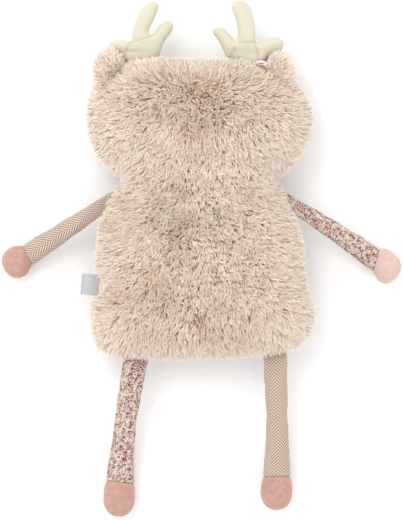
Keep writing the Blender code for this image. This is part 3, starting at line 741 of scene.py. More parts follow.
        turn = tuft_turn[of_tuft] + rng.normal(0, 0.14, count)
        lift = tuft_lift[of_tuft] + rng.normal(0, 0.08, count)
        long = tuft_long[of_tuft] * np.clip(rng.normal(0.97, 0.12, count), 0.55, 1.2)
        paths = self.paths(roots, out, comb, turn, lift, long)
        hold = np.clip(rng.normal(self.gather, 0.12, count), 0.0, 0.98)
        paths += hold[:, None, None] * np.array((0.0, 0.42, 1.0))[None, :, None] * (tuft_path[of_tuft] - paths)
        paths[:, :, 2] = np.maximum(paths[:, :, 2], FLOOR_CLEARANCE)

        tuft_tone = rng.normal(0, 0.026, len(tuft_at)) + rng.normal(0, 0.008, len(lock_at))[of_lock]
        tone = 1.0 + tuft_tone[of_tuft] + rng.normal(0, 0.05, count)
        tuft_warm = np.clip(rng.normal(0.04, 0.10, len(tuft_at)), 0.0, 0.8)
        return {"paths": paths, "out": out, "tone": tone, "warmth_and_shade": tuft_warm[of_tuft],
                "roll": rng.normal(0, 0.45, (count, 3))}

    def trim(self, grown: dict[str, np.ndarray], place: Vector, half: Vector, keep: float) -> None:
        """Shorten the pile in an ellipse, as where a trim is sewn in.

        Args:
            grown: what grow returned, changed in place.
            place: its middle, X and Y.
            half: half its width and height.
            keep: what the pile's length is scaled by in the middle.
        """
        paths = grown["paths"]
        away = np.linalg.norm((paths[:, 0, :2] - np.array(place)) / np.array(half), axis=1)
        share = keep + (1 - keep) * np.clip((away - 0.75) / 0.5, 0, 1)
        paths[:, 1:] = paths[:, :1] + (paths[:, 1:] - paths[:, :1]) * share[:, None, None]

    def tint(self, grown: dict[str, np.ndarray], place: Vector, reach: float, share: float) -> None:
        """Darken the pile's colour towards the brown of its roots round a place, as painted shade.

        Args:
            grown: what grow returned, changed in place.
            place: X and Y.
            reach: how far the tint reaches.
            share: how strong it is in the middle.
        """
        away = np.linalg.norm(grown["paths"][:, 0, :2] - np.array(place), axis=1) / reach
        grown["warmth_and_shade"] = np.clip(grown["warmth_and_shade"] + share * np.exp(-away ** 2), 0.0, 1.0)

    def mesh(self, grown: dict[str, np.ndarray], chosen: np.ndarray, name: str) -> bpy.types.Mesh:
        """Turn some of the fibres to ribbons.

        bmesh has no operator for this, and a third of a million ribbons need arrays.

        Args:
            grown: what grow returned.
            chosen: the numbers of the fibres.
            name: the mesh's name.

        Returns:
            A mesh of a quad and a triangle to a fibre.
        """
        paths, out = grown["paths"][chosen], grown["out"][chosen] + grown["roll"][chosen]
        count = len(chosen)
        ahead = np.diff(paths, axis=1)
        side = np.cross(ahead, out[:, None])
        side /= np.linalg.norm(side, axis=2, keepdims=True) + 1e-12
        half = self.width / 2 * np.array((0.9, 1.0))[None, :, None]
        verts = np.empty((count, 5, 3), np.float32)
        verts[:, 0:4:2] = paths[:, :2] - side * half
        verts[:, 1:4:2] = paths[:, :2] + side * half
        verts[:, 4] = paths[:, 2]
        verts[:, :, 2] = np.maximum(verts[:, :, 2], FLOOR_CLEARANCE)
        step = np.arange(count, dtype=np.int32)[:, None]
        corners = (np.array((0, 1, 3, 2, 2, 3, 4), np.int32)[None] + 5 * step).ravel()
        starts = (np.array((0, 4), np.int32)[None] + 7 * step).ravel()
        made = bpy.data.meshes.new(name)
        made.vertices.add(count * 5)
        made.vertices.foreach_set("co", verts.ravel())
        made.loops.add(len(corners))
        made.loops.foreach_set("vertex_index", corners)
        made.polygons.add(count * 2)
        made.polygons.foreach_set("loop_start", starts)
        made.polygons.foreach_set("use_smooth", np.ones(count * 2, bool))
        made.update(calc_edges=True)
        values = {
            "along": np.tile(np.array((0.0, 0.0, 0.55, 0.55, 1.0), np.float32), count),
            "tone": np.repeat(grown["tone"][chosen].astype(np.float32), 5),
            "warmth_and_shade": np.repeat(grown["warmth_and_shade"][chosen].astype(np.float32), 5),
            # Painted rim light: the steeper the skin under a fibre, the more it is mixed towards near-white.
            "pale": np.repeat((0.5 * np.clip(0.75 - np.abs(grown["out"][chosen, 2]), 0, 0.75)).astype(np.float32), 5),
        }
        for key, value in values.items():
            made.attributes.new(key, "FLOAT", "POINT").data.foreach_set("value", value)
        return made


HEAD_COMB = Comb((
    (100, 66, 120, 58), (125, 62, 110, 60), (150, 60, 100, 58), (200, 60, 90, 56), (250, 60, 80, 58),
    (280, 64, 65, 58), (300, 74, 45, 60), (90, 90, 185, 60), (88, 125, 195, 60), (95, 155, 220, 60),
    (120, 85, 205, 55), (150, 90, 215, 45), (118, 110, 215, 55), (150, 118, 225, 50), (130, 140, 235, 58),
    (160, 145, 240, 58), (120, 165, 250, 60), (165, 170, 262, 62), (200, 72, 95, 40), (184, 84, 180, 24), (218, 84, 0, 24),
    (168, 92, 225, 38),
    (203, 96, 270, 14), (238, 92, 310, 38), (187, 112, 245, 30), (218, 112, 295, 30), (200, 130, 270, 50), (183, 134, 226, 66), (193, 131, 305, 66),
    (198, 148, 270, 62), (200, 168, 270, 64), (235, 168, 280, 62), (245, 90, 325, 45), (270, 85, 330, 52),
    (262, 112, 318, 52), (290, 100, 340, 58), (312, 120, 350, 60), (250, 135, 305, 56), (278, 140, 310, 58),
    (305, 150, 325, 60), (270, 165, 295, 60), (225, 145, 285, 58),
))
BODY_COMB = Comb((
    (195, 178, 270, 50), (170, 180, 240, 55), (225, 180, 300, 55), (130, 190, 215, 58), (265, 190, 325, 58),
    (102, 200, 195, 60), (298, 200, 345, 60), (170, 205, 225, 54), (186, 215, 228, 52), (204, 215, 312, 52),
    (225, 205, 315, 54), (140, 225, 222, 58), (255, 225, 318, 58), (97, 245, 200, 60), (303, 245, 340, 60),
    (180, 240, 232, 52), (208, 240, 305, 52), (125, 255, 225, 58), (160, 262, 238, 58), (195, 262, 268, 56),
    (232, 258, 298, 58), (272, 258, 312, 58), (95, 290, 205, 60), (125, 292, 236, 58), (160, 300, 250, 58),
    (198, 295, 268, 52), (240, 300, 290, 58), (280, 300, 302, 58), (312, 295, 330, 60), (190, 316, 230, 46),
    (214, 316, 310, 46), (202, 319, 270, 26), (202, 332, 270, 46), (150, 328, 255, 50), (245, 330, 285, 50), (94, 325, 208, 62),
    (100, 348, 222, 66), (150, 352, 262, 62), (202, 352, 270, 62), (250, 352, 280, 62), (304, 348, 318, 66),
    (315, 330, 332, 62),
))


LEFT_EAR_COMB = Comb((
    (99, 84, 178, 64), (95, 66, 155, 66), (102, 54, 130, 66), (113, 51, 108, 66), (121, 57, 90, 64),
    (112, 62, 122, 62), (106, 73, 145, 62), (118, 68, 112, 60), (112, 77, 140, 60),
))
RIGHT_EAR_COMB = Comb((
    (292, 86, 2, 64), (293, 67, 25, 66), (286, 55, 50, 66), (275, 53, 76, 66), (267, 60, 95, 64),
    (278, 63, 58, 62), (284, 74, 35, 62), (271, 70, 70, 60), (278, 79, 40, 60),
))


FUR_TRIMS = ((97, 285, 12, 13, 0.20), (262, 71, 9, 7, 0.60), (200, 61, 46, 7, 0.72), (251, 63, 8, 5, 0.5))
# Darker, browner patches of pile, px, py, reach and strength: painted shade in the brown of the roots.
FUR_TINTS = (
    (203, 98, 17, 0.13), (192, 88, 34, 0.03), (190, 133, 8, 0.26),
    (205, 125, 10, 0.16), (112, 84, 9, 0.22), (280, 84, 10, 0.22), (188, 190, 6, 0.28), (165, 200, 9, 0.18),
    (246, 194, 7, 0.26), (188, 217, 8, 0.26), (178, 235, 9, 0.24), (112, 226, 8, 0.24), (160, 283, 18, 0.22),
    (125, 296, 12, 0.22), (200, 318, 5, 0.40), (206, 330, 8, 0.20), (172, 180, 8, 0.16), (150, 330, 16, 0.12),
    (128, 205, 8, 0.16), (230, 330, 18, 0.10),
)


@dataclass
class FurCushion:
    """The ground of a stuffed fur cushion: an even skin, drawn in by the depth of the pile."""

    name: str
    body: str
    inset: float = 5.9 * MM
    inset_up: float = 5.0 * MM
    voxel: float = 3.0 * MM

    def build(self) -> bpy.types.Object:
        """Returns:
            The ground piece.
        """
        panels = (f"{self.name}_back_panel", f"{self.name}_front_panel")
        bm = plump(self.voxel, 6, *panels, f"{self.name}_stuffing")
        low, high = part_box(panels[0])
        middle, half, rise = (low + high) / 2, (high - low) / 2, high.z - low.z
        for vert in bm.verts:
            at = vert.co
            at.x = middle.x + (at.x - middle.x) * (1 - self.inset / half.x)
            at.y = middle.y + (at.y - middle.y) * (1 - self.inset / half.y)
            at.z = low.z + (at.z - low.z) * (1 - self.inset_up / rise)
        ground = finished(f"{self.name}_fur_ground", to_mesh(bm, self.name), GROUND, self.body, *panels)
        return ground


@dataclass
class Neck:
    """The stuffed neck that joins body and head, a saddle between their crowns."""

    middle: tuple[float, float]
    half_width: float = 66.5 * MM
    reach: tuple[float, float] = (36.0 * MM, 32.0 * MM)
    crowns: tuple[float, float] = (73.5 * MM, 80.5 * MM)
    sag: float = 2.5 * MM
    flare: tuple[float, float] = (6.0 * MM, 12.0 * MM)
    bottom: float = 5.5 * MM
    seam: float = 40.0 * MM

    def build(self) -> bpy.types.Object:
        """Returns:
            The ground piece.
        """
        bm = bmesh.new()
        bmesh.ops.create_cone(bm, cap_ends=True, segments=56, radius1=1.0, radius2=1.0, depth=2.0)
        rim = [e for e in bm.edges if abs(e.verts[0].co.z - e.verts[1].co.z) > 1.0]
        bmesh.ops.subdivide_edges(bm, edges=rim, cuts=18)
        for vert in bm.verts:
            along, angle = vert.co.z, math.atan2(vert.co.y, vert.co.x)
            ahead = along > 0
            y = self.middle[1] + along * self.reach[ahead]
            half = self.half_width + self.flare[ahead] * along * along
            share = (along + 1) / 2
            top = self.crowns[0] + (self.crowns[1] - self.crowns[0]) * share - self.sag * (1 - along * along)
            cos, sin = math.cos(angle), math.sin(angle)
            x = math.copysign(abs(cos) ** 0.75, cos) * half
            height = (top if sin > 0 else self.bottom) - self.seam
            z = self.seam + abs(sin) ** 0.62 * height
            shrink = 1 - 0.18 * abs(along) ** 6
            vert.co = (self.middle[0] + x * shrink, y, self.seam + (z - self.seam) * shrink)
        bmesh.ops.recalc_face_normals(bm, faces=bm.faces)
        ground = finished("neck_fur_ground", to_mesh(bm, "neck"), GROUND, None)
        self.bend(ground)
        return ground

    def bend(self, piece: bpy.types.Object) -> None:
        """Bake a piece's transform into its mesh."""
        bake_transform(piece)


@dataclass
class FurCoat:
    """The pile over body, neck and head, grown as one coat and parted where the neck bends.

    trims are px, py, half width, half height and what is kept of the length; tints, which darken
    the pile towards brown as painted shade, are px, py, reach and strength; both in pixels of the
    photograph's frame.
    """

    grounds: tuple[bpy.types.Object, ...]
    neck: Neck
    comb: Comb
    pile: Pile
    trims: tuple[tuple[float, float, float, float, float], ...] = ()
    tints: tuple[tuple[float, float, float, float], ...] = ()
    fibres: int = 520000
    voxel: float = 2.6 * MM

    def skin(self) -> bpy.types.Mesh:
        """One skin round the grounds."""
        bm = bmesh.new()
        for ground in self.grounds:
            bm.from_mesh(ground.data)
        return to_mesh(even_skin(bm, self.voxel, 5), "coat")

    def build(self) -> None:
        """Grow the coat and split it into pieces of fewer than 200,000 triangles."""
        skin = self.skin()
        grown = self.pile.grow(skin, self.fibres, self.comb)
        bpy.data.meshes.remove(skin)
        for px, py, wide, high, keep in self.trims:
            half = Vector((wide * METRES_PER_PIXEL, high * METRES_PER_PIXEL))
            self.pile.trim(grown, Vector(from_photo(px, py)), half, keep)
        # Painted shade: the tints darken the pile towards brown round their places.
        for px, py, reach, share in self.tints:
            self.pile.tint(grown, Vector(from_photo(px, py)), reach * METRES_PER_PIXEL, share)
        roots = grown["paths"][:, 0]
        low, high = (self.neck.middle[1] + side * reach * 0.8 for side, reach in zip((-1, 1), self.neck.reach))
        zones = {"body": roots[:, 1] < low, "neck": (roots[:, 1] >= low) & (roots[:, 1] <= high),
                 "head": roots[:, 1] > high}
        for zone, inside in zones.items():
            chosen = np.flatnonzero(inside)
            chosen = chosen[np.argsort(roots[chosen, 0])]
            for k, part in enumerate(np.array_split(chosen, math.ceil(len(chosen) / 62000))):
                name = f"{zone}_pile_{k + 1}"
                body = {"body": "torso", "neck": None, "head": "head"}[zone]
                piece = finished(name, self.pile.mesh(grown, part, name), FUR, body)
                if body is None:
                    self.neck.bend(piece)


# ---------------------------------------------------------------- limbs


def eased(table: tuple[tuple[float, float], ...], share: float) -> float:
    """A value from a table of (share, value), with soft steps between its rows."""
    for (a, low), (b, high) in zip(table, table[1:]):
        if share <= b:
            t = (share - a) / (b - a)
            return low + (high - low) * t * t * (3 - 2 * t)
    return table[-1][1]


ARM_WIDTHS = ((0.0, 0.74), (0.07, 0.77), (0.17, 0.80), (0.34, 0.87), (0.56, 0.95), (0.78, 1.05), (0.92, 1.10), (1.0, 1.12))
LEG_WIDTHS = ((0.0, 1.02), (0.17, 1.0), (0.34, 0.96), (0.50, 0.91), (0.64, 0.95), (0.80, 1.06), (0.92, 1.15), (1.0, 1.19))


@dataclass
class Limb:
    """An arm or leg: a cloth sleeve sewn flat into the body's seam, and a velour hand or foot."""

    name: str
    tip: str
    joint: str
    heading: float
    length: float
    width: float
    tip_length: float
    tip_width: float
    cloth: Finish
    widths: tuple[tuple[float, float], ...]
    velour: Finish
    cuff_turn: float = 0.0
    bow: float = 0.0
    seed: int = 0
    cuff_reach: float = 14.0 * MM
    thickness: float = 0.88
    seam: float = 40.0 * MM
    drop: float = field(init=False)
    skew: float = field(init=False)

    def __post_init__(self) -> None:
        """Find the limb's frame from its joint."""
        record = next(j for j in frame["joints"] if j["name"] == self.joint)
        self.origin = Vector(record["pos_m"])
        turn = math.radians(self.heading)
        self.ahead = Vector((math.cos(turn), math.sin(turn), 0.0))
        self.across = Vector((-self.ahead.y, self.ahead.x, 0.0))
        axis = Vector(record["axis"])
        normal = Vector((axis.y, -axis.x, 0.0))
        if normal.dot(self.ahead) < 0:
            normal.negate()
        self.skew = math.atan2(normal.x * self.ahead.y - normal.y * self.ahead.x, normal.dot(self.ahead))
        self.drop = self.seam + 0.5 * MM - self.tip_width / 2 * self.thickness

    def at(self, x: float, angle: float, half: float) -> Vector:
        """A place on the limb's skin.

        Args:
            x: how far from the seam.
            angle: round the limb, a quarter turn being its upper side.
            half: half its width there.

        Returns:
            The place.
        """
        fade = min(max(1.0 - x / 0.036, 0.0), 1.3)
        y = half * math.cos(angle)
        at_cuff = math.exp(-((x - self.length) / self.cuff_reach) ** 2)
        along = x + y * (math.tan(self.skew) * fade + math.tan(math.radians(self.cuff_turn)) * at_cuff)
        depth = max(0.0, along * math.cos(self.skew) - y * math.sin(self.skew))
        thick = min(half * self.thickness, 0.8 * MM + depth * 0.42)
        z = thick * math.sin(angle)
        reach = self.length + self.tip_length
        share = min(max(along / (reach - self.tip_length / 2), 0.0), 1.0)
        y -= self.bow * math.sin(math.pi * share)
        z -= self.drop * share * share * (3 - 2 * share)
        z = max(z, FLOOR_CLEARANCE - self.seam)
        return self.origin + self.ahead * along + self.across * y + Vector((0, 0, z))

    def crumple(self, x: float, angle: float, size: float) -> float:
        """How far the skin stands out of its even form, in metres."""
        slow = noise.noise(Vector((x / (16 * MM), math.cos(angle) * 1.1, math.sin(angle) * 1.1 + self.seed)))
        fold = noise.noise(Vector((x / (5 * MM), math.cos(angle) * 0.9 + self.seed, math.sin(angle) * 0.9)))
        return size * slow + size * 0.4 * fold

    def tube(self, start: float, stop: float, rings: int, around: int, radius, turned: bool) -> bmesh.types.BMesh:
        """A tube along the limb, closed round its under side.

        Args:
            start: where it starts, from the seam.
            stop: where it stops.
            rings: how many steps along it.
            around: how many steps round it.
            radius: gives half its width and its crumpling for a place along it.
            turned: whether its end closes to a point.

        Returns:
            The tube, with a UV map in millimetres, U from the middle of the upper side.
        """
        bm = bmesh.new()
        uv = bm.loops.layers.uv.new("cloth")
        bmesh.ops.create_grid(bm, x_segments=rings, y_segments=around, size=0.5)
        loops_round: dict[float, list[tuple[float, bmesh.types.BMVert]]] = {}
        for vert in bm.verts:
            loops_round.setdefault(round(vert.co.x, 5), []).append((vert.co.y, vert))
            x = start + (vert.co.x + 0.5) * (stop - start)
            angle = math.pi / 2 - 2 * math.pi * vert.co.y
            half, size = radius(x)
            half += self.crumple(x, angle, size) if half > 0 else 0.0
            tuck = math.exp(-((abs(vert.co.y) - 0.5) / 0.012) ** 2) * 0.5 * MM
            vert.co = self.at(x, angle, max(half - tuck, 0.0))
        flat = self.unrolled(list(loops_round.values()))
        for face in bm.faces:
            for loop in face.loops:
                along = (loop.vert.co - self.origin).dot(self.ahead)
                loop[uv].uv = (flat[loop.vert] / MM, along / MM)
        bmesh.ops.remove_doubles(bm, verts=bm.verts, dist=1e-6)
        bmesh.ops.recalc_face_normals(bm, faces=bm.faces)
        return bm

    def unrolled(self, rings: list[list[tuple[float, bmesh.types.BMVert]]]) -> dict[bmesh.types.BMVert, float]:
        """How far each corner of a tube lies round it from the middle of its upper side.

        Args:
            rings: the corners of each ring, each with its place round the tube.

        Returns:
            The distance along the cloth for each corner, in metres.
        """
        flat = {}
        for ring in rings:
            ring.sort(key=lambda corner: corner[0])
            verts = [vert for _, vert in ring]
            middle = len(verts) // 2
            flat[verts[middle]] = 0.0
            for step in (1, -1):
                here, run = middle, 0.0
                while 0 <= here + step < len(verts):
                    run += step * (verts[here + step].co - verts[here].co).length
                    here += step
                    flat[verts[here]] = run
        return flat

    def sleeve_half(self, x: float) -> tuple[float, float]:
        """Half the sleeve's width at a place along it, and how much it crumples there."""
        share = min(max(x / self.length, 0.0), 1.0)
        half = self.width / 2 * eased(self.widths, share)
        lip = max(0.0, (x - self.length + 1.4 * MM) / (1.4 * MM))
        return half - 1.0 * MM * lip * lip, 0.8 * MM

    def tip_half(self, x: float) -> tuple[float, float]:
        """Half the hand's or foot's width at a place along it, and how much it crumples there."""
        share = (x - self.length) / self.tip_length
        cuff = self.width * self.widths[-1][1] / self.tip_width
        if share < 0.42:
            swell = cuff + (1 - cuff) * math.sin(math.pi / 2 * max(share, 0.0) / 0.42)
            lip = max(0.0, 1 - share / 0.06)
            return self.tip_width / 2 * (swell - 0.05 * lip * lip), 0.7 * MM
        q = min((share - 0.42) / 0.58, 1.0)
        return self.tip_width / 2 * math.sqrt(max(0.0, 1 - q ** 2.5)), 0.7 * MM * (1 - q)

    def build(self) -> None:
        """Make the sleeve, the hand or foot and the filling."""
        bm = self.tube(-5 * MM, self.length + 0.2 * MM, 110, 64, self.sleeve_half, False)
        sleeve = finished(f"{self.name}_cloth", to_mesh(bm, self.name), self.cloth, None, f"{self.name}_sleeve")
        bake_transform(sleeve)
        bm = self.tube(self.length + 0.1 * MM, self.length + self.tip_length, 44, 64, self.tip_half, True)
        tip = finished(f"{self.tip}_velour", to_mesh(bm, self.tip), self.velour, self.name, self.tip)
        filling(f"{self.name}_filling", self.name, f"{self.name}_stuffing")


def drawn_in(bm: bmesh.types.BMesh, inset: float) -> bmesh.types.BMesh:
    """The same bmesh with its skin drawn in along its normals by an inset."""
    bm.normal_update()
    for vert in bm.verts:
        vert.co -= vert.normal * inset
    return bm


def filling(name: str, body: str, node: str, voxel: float = 2.0 * MM) -> None:
    """Make a loose fibre filling, a little clear of its cover.

    Args:
        name: the piece's name.
        body: the CAD body that it rides on.
        node: the CAD node that it stands for.
        voxel: the size of its faces.
    """
    bm = drawn_in(plump(voxel, 2, node), 2.2 * MM)
    finished(name, to_mesh(bm, name), FIBREFILL, body, node)


# ---------------------------------------------------------------- antlers, ears, trims


# The last value of each tuck is how much painted shade it lays on the cord.
LEFT_TUCKS = (
    (133, 42.5, 141, 40.7, 1.3, 0.6, 0.4), (141, 40.7, 151, 37.2, 1.0, 0.5, 0.4), (131, 43, 122, 54, 1.6, 0.7, 0.5),
    (119, 51, 125, 56, 2.6, 0.9, 0.9),
)
RIGHT_TUCKS = (
    (238.6, 42.5, 246, 43.6, 1.2, 0.6, 0.4), (246, 43.6, 255, 43.2, 1.2, 0.6, 0.4),
    (227, 56.7, 234.9, 48.5, 1.5, 0.5, 0.4), (255.9, 47, 258.9, 56, 1.4, 0.8, 0.5), (258.9, 56, 260, 62, 1.6, 0.8, 0.5),
    (263.5, 60, 267, 56, 3.2, 0.3, 1.0),
)


@dataclass
class Antler:
    """A stuffed needlecord antler of two panels, with a stitched tuck at the foot of each tine."""

    side: Side
    tucks: tuple[tuple[float, float, float, float, float, float, float], ...]
    voxel: float = 0.9 * MM
    swell: float = 0.9 * MM
    sink: float = 6.0 * MM
    sink_reach: float = 15.0 * MM

    def build(self) -> None:
        """Round the CAD panels, let the foot into the fur, press in the tucks and fill it.

        A tuck is the photograph's px, py of its two ends, its half width and depth in mm and
        how much painted shade it lays on the cord.
        """
        name = f"{self.side.value}_antler"
        bm = plump(self.voxel, 14, f"{name}_back", f"{name}_front")
        foot = next(j for j in frame["joints"] if j["name"] == f"{name}_seam")["pos_m"][1]
        layer = bm.verts.layers.float.new("crease")
        bm.normal_update()
        for vert in bm.verts:
            vert.co += vert.normal * self.swell
            spot, deep, press = vert.co.xy, 0.0, 0.0
            for ax, ay, bx, by, half, depth, painted_shade in self.tucks:
                a, b = Vector(from_photo(ax, ay)), Vector(from_photo(bx, by))
                run = b - a
                share = min(max((spot - a).dot(run) / run.length_squared, 0.0), 1.0)
                near = math.exp(-((spot - a - run * share).length / (half * MM)) ** 2)
                deep, press = max(deep, near * painted_shade), max(press, near * depth * MM)
            # The crease attribute carries the painted shade, on faces that do not look down.
            vert[layer] = deep if vert.normal.z > -0.2 else 0.0
            vert.co -= vert.normal * press
            low = min(max((foot + self.sink_reach - vert.co.y) / self.sink_reach, 0.0), 1.0)
            vert.co.y -= self.sink * low * low * (3 - 2 * low)
        piece = finished(f"{name}_cord", to_mesh(bm, name), NEEDLECORD, name, f"{name}_back", f"{name}_front")
        filling(f"{name}_filling", name, f"{name}_stuffing", 1.2 * MM)


@dataclass
class Ear:
    """An ear with a fur back over a velour lining."""

    side: Side
    comb: Comb
    middle: tuple[float, float]
    half: tuple[float, float]
    tilt: float
    # Where painted shade darkens the ear's pile, near its base.
    shade_painted_at: tuple[float, float]
    thickness: float = 12.5 * MM
    fibres: int = 22000
    # How far the painted shade on the ear's pile reaches.
    shade_painted_reach: float = 7.0 * MM
    hold: tuple[float, float] = (3.0 * MM, 13.0 * MM)

    def bend(self, piece: bpy.types.Object) -> None:
        """Bake a piece's transform into its mesh."""
        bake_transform(piece)

    def build(self) -> None:
        """Make the ground, its short pile and the lining."""
        name = f"{self.side.value}_ear"
        low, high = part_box(f"{name}_back")
        turn = Matrix.Rotation(math.radians(self.tilt), 4, "Z")
        turn.translation = (*from_photo(*self.middle), (low.z + high.z) / 2)
        bm = bmesh.new()
        bmesh.ops.create_uvsphere(bm, u_segments=64, v_segments=36, radius=1.0)
        for vert in bm.verts:
            at = vert.co
            vert.co = turn @ Vector((at.x * self.half[0], at.y * self.half[1], at.z * self.thickness / 2))
        bmesh.ops.recalc_face_normals(bm, faces=bm.faces)
        mesh = to_mesh(bm, name)
        ground = finished(f"{name}_fur_ground", mesh, GROUND, None, f"{name}_back")
        pile = Pile(seed=31 if self.side is Side.LEFT else 37, front_share=0.5, stand=0.8, wander=16.0,
                    gather=0.66)
        grown = pile.grow(mesh, self.fibres, self.comb, short=0.62)
        # Painted shade: the pile is darkened towards brown round a given place near the ear's base.
        pile.tint(grown, Vector(from_photo(*self.shade_painted_at)), self.shade_painted_reach, 0.08)
        coat = finished(f"{name}_pile", pile.mesh(grown, np.arange(self.fibres), name), FUR, None)
        bm = drawn_in(plump(1.0 * MM, 3, f"{name}_lining"), 2.0 * MM)
        middle = Vector(from_photo(*self.middle))
        for vert in bm.verts:
            vert.co.xy = middle + (vert.co.xy - middle) * 0.84
        lining = finished(f"{name}_velour", to_mesh(bm, name), VELOUR, None, f"{name}_lining")
        for piece in (ground, coat, lining):
            self.bend(piece)


@dataclass
class RibbonFlower:
    """A small rose of satin ribbon, stitched beside the right antler: ruffles round a slot.

    Each ruffle is px, py of its middle, its turn in degrees, then half its length, half its
    width, half its slot's length and width, and its height, in mm.
    """

    ruffles: tuple[tuple[float, float, float, float, float, float, float, float], ...] = (
        (260.9, 64.3, -4.0, 5.4, 3.0, 3.1, 0.5, 49.8), (268.2, 67.4, -22.0, 5.8, 2.2, 3.2, 0.4, 52.0),
        (265.2, 66.8, -16.0, 5.4, 3.2, 2.4, 1.2, 47.2),
    )
    fall: float = 3.4 * MM

    def ruffle(self, bm: bmesh.types.BMesh, row: tuple[float, ...], widen: float, drop: float) -> None:
        """Lay one gathered strip round its slot.

        Args:
            bm: the bmesh that takes it.
            row: the row of the ruffle.
            widen: scales the slot's and the ruffle's size.
            drop: how much lower it lies.
        """
        px, py, degrees, long, wide, slot_long, slot_wide, height = row
        turn = Matrix.Rotation(math.radians(degrees), 4, "Z")
        turn.translation = (*from_photo(px, py), height * MM - drop)
        strip = bmesh.ops.create_grid(bm, x_segments=56, y_segments=7, size=0.5)["verts"]
        for vert in strip:
            angle, share = vert.co.x * 2 * math.pi, vert.co.y + 0.5
            x = (slot_long + (long - slot_long) * share) * widen * MM * math.cos(angle)
            y = (slot_wide + (wide - slot_wide) * share) * widen * MM * math.sin(angle)
            gather = 0.35 * MM * math.sin(angle * 7 + degrees) * share
            vert.co = turn @ Vector((x, y, gather - self.fall * share ** 1.7))

    def build(self) -> None:
        """Make the ruffles and the darker folds inside their slots, whose darker pink is painted shade."""
        bm = bmesh.new()
        for row in self.ruffles:
            self.ruffle(bm, row, 1.0, 0.0)
        bmesh.ops.solidify(bm, geom=bm.faces[:], thickness=0.25 * MM)
        bmesh.ops.remove_doubles(bm, verts=bm.verts, dist=1e-6)
        bmesh.ops.recalc_face_normals(bm, faces=bm.faces)
        finished("ribbon_loops", to_mesh(bm, "ribbon"), SATIN, "head", "ribbon_flower")
        # Painted shade: a darker pink sheet lies low inside each slot.
        bm = bmesh.new()
        for row in self.ruffles:
            self.ruffle(bm, (*row[:5], 0.0, 0.0, row[7]), 0.8, 1.1 * MM)
        bmesh.ops.remove_doubles(bm, verts=bm.verts, dist=1e-6)
        bmesh.ops.recalc_face_normals(bm, faces=bm.faces)
        finished("ribbon_folds", to_mesh(bm, "folds"), RIBBON_SHADE, "head")


@dataclass
class CareLabel:
    """A blank satin label, folded in two and sewn into the side seam."""

    length: float = 10.5 * MM
    width: float = 20.0 * MM
    gap: float = 0.35 * MM
    droop: float = 3.2 * MM

    def build(self) -> None:
        """Fold a strip at its outer end."""
        record = next(j for j in frame["joints"] if j["name"] == "label_seam")
        axis = Vector(record["axis"])
        out = Vector((-abs(axis.y), axis.x * math.copysign(1, axis.y), 0.0)).normalized()
        along = Vector((-out.y, out.x, 0.0))
        origin = Vector(record["pos_m"])
        bm = bmesh.new()
        bmesh.ops.create_grid(bm, x_segments=36, y_segments=16, size=0.5)
        inner = 7.0 * MM
        for vert in bm.verts:
            s = vert.co.x * 2
            reach = (self.length + inner) * (1 - abs(s)) - inner
            lift = self.gap / 2 * math.copysign(min(1.0, abs(s) * 9), s)
            share = max(reach, 0.0) / self.length
            wave = 0.35 * MM * math.sin(vert.co.y * 5.0 + 0.6) * share
            at = origin + out * reach + along * (vert.co.y * self.width)
            vert.co = at + Vector((0, 0, lift + wave - self.droop * share * share))
        bmesh.ops.recalc_face_normals(bm, faces=bm.faces)
        label = finished("care_label_satin", to_mesh(bm, "label"), LABEL_SATIN, "label", "care_label")


@dataclass
class Face:
    """Two satin-stitched eyes and a velour nose on the hidden front."""

    def button(self, name: str, node: str, finish: Finish) -> None:
        """A low dome with the size of its CAD node.

        Args:
            name: the piece's name.
            node: the CAD node that it stands for.
            finish: what it is made of.
        """
        low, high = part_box(node)
        middle, half = (low + high) / 2, (high - low) / 2
        bm = bmesh.new()
        bmesh.ops.create_uvsphere(bm, u_segments=40, v_segments=20, radius=1.0)
        for vert in bm.verts:
            at = vert.co
            vert.co = (middle.x + at.x * half.x, middle.y + at.y * half.y, high.z - half.z + at.z * half.z)
        finished(name, to_mesh(bm, name), finish, "head", node)

    def build(self) -> None:
        """Make the eyes and the nose."""
        self.button("left_eye_stitching", "left_eye", THREAD)
        self.button("right_eye_stitching", "right_eye", THREAD)
        self.button("nose_velour_pad", "nose", NOSE_VELOUR)


# ---------------------------------------------------------------- studio


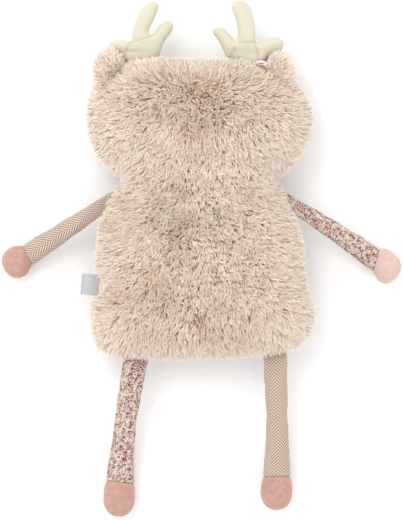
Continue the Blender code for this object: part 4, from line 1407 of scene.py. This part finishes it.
@dataclass
class Studio:
    """The camera straight above the toy, the paper that it lies on and soft light."""

    distance: float = 4.0
    plane: float = 0.03
    ambient: float = 1.24
    key_power: float = 8.2
    key_size: float = 0.9
    key_place: tuple[float, float, float] = (-0.62, 0.80, 1.55)

    def camera(self) -> None:
        """A long lens that sees 520 pixels of 0.96 mm at the height of the seams."""
        data = bpy.data.cameras.new("camera")
        data.type = "PERSP"
        data.sensor_fit = "VERTICAL"
        data.sensor_height = 36.0
        data.lens = data.sensor_height * self.distance / (IMAGE_HEIGHT * METRES_PER_PIXEL)
        data.clip_end = 20.0
        camera = bpy.data.objects.new("camera", data)
        camera.location = (*from_photo(IMAGE_WIDTH / 2, IMAGE_HEIGHT / 2), self.plane + self.distance)
        bpy.context.scene.collection.objects.link(camera)
        bpy.context.scene.camera = camera

    def light(self) -> None:
        """An even white surround and one large softbox from the upper left."""
        world = bpy.data.worlds.new("studio")
        world.use_nodes = True
        surround = world.node_tree.nodes["Background"]
        surround.inputs["Color"].default_value = (1.0, 1.0, 1.0, 1.0)
        surround.inputs["Strength"].default_value = self.ambient
        bpy.context.scene.world = world
        data = bpy.data.lights.new("softbox", "AREA")
        data.shape, data.size, data.energy = "SQUARE", self.key_size, self.key_power
        softbox = bpy.data.objects.new("softbox", data)
        softbox.location = self.key_place
        softbox.rotation_euler = (-Vector(self.key_place)).to_track_quat("-Z", "Y").to_euler()
        bpy.context.scene.collection.objects.link(softbox)
        bpy.context.scene.view_settings.view_transform = "Standard"

    def paper(self) -> None:
        """The white paper under the toy."""
        bm = bmesh.new()
        bmesh.ops.create_grid(bm, x_segments=2, y_segments=2, size=3.0)
        mesh = to_mesh(bm, "paper")
        mesh.materials.append(PAPER.material())
        sheet = bpy.data.objects.new("paper", mesh)
        bpy.context.scene.collection.objects.link(sheet)

    def build(self) -> None:
        """Set up the studio."""
        self.camera()
        self.light()
        self.paper()


@dataclass
class PlushDeer:
    """The whole toy."""

    neck_at: tuple[float, float] = (-2.4 * MM, 75.8 * MM)

    def limbs(self) -> list[Limb]:
        """Two arms and two legs; each pair has one limb in each cloth."""
        return [
            Limb("left_arm", "left_hand", "left_shoulder_seam", 212.8, 88.7 * MM, 19.0 * MM, 26.2 * MM, 30.0 * MM,
                 HERRINGBONE, ARM_WIDTHS, VELOUR, cuff_turn=7.5, seed=1),
            Limb("right_arm", "right_hand", "right_shoulder_seam", -33.2, 95.1 * MM, 19.0 * MM, 26.2 * MM, 30.0 * MM,
                 FLORAL, ARM_WIDTHS, LIT_HAND_VELOUR, cuff_turn=-18.0, bow=-1.4 * MM, seed=2),
            Limb("left_leg", "left_foot", "left_hip_seam", 263.0, 119.2 * MM, 22.4 * MM, 34.0 * MM, 30.6 * MM,
                 FLORAL, LEG_WIDTHS, VELOUR, bow=2.8 * MM, seed=3),
            Limb("right_leg", "right_foot", "right_hip_seam", 270.9, 116.6 * MM, 22.0 * MM, 33.0 * MM, 30.6 * MM,
                 HERRINGBONE, LEG_WIDTHS, VELOUR, bow=-1.4 * MM, seed=4),
        ]

    def build(self) -> None:
        """Build every sub-assembly in order."""
        neck = Neck(self.neck_at)
        grounds = (FurCushion("body", "torso").build(), neck.build(),
                   FurCushion("head", "head").build())
        comb = Comb(HEAD_COMB.rows + BODY_COMB.rows)
        FurCoat(grounds, neck, comb, Pile(seed=11, thick=((202, 92, 34, 0.15),)), FUR_TRIMS, FUR_TINTS).build()
        filling("body_filling", "torso", "body_stuffing", 4 * MM)
        filling("head_filling", "head", "head_stuffing", 4 * MM)
        for limb in self.limbs():
            limb.build()
        Antler(Side.LEFT, LEFT_TUCKS).build()
        Antler(Side.RIGHT, RIGHT_TUCKS).build()
        Ear(Side.LEFT, LEFT_EAR_COMB, (108.8, 70.5), (11.4 * MM, 17.0 * MM), -8.0, (109, 71)).build()
        Ear(Side.RIGHT, RIGHT_EAR_COMB, (280.6, 73.0), (9.8 * MM, 16.2 * MM), 8.0, (277, 72)).build()
        RibbonFlower().build()
        CareLabel().build()
        Face().build()


def main() -> None:
    """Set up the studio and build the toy."""
    logging.basicConfig(level=logging.INFO, format="%(name)s: %(message)s")
    Studio().build()
    PlushDeer().build()


if __name__ == "__main__":
    main()
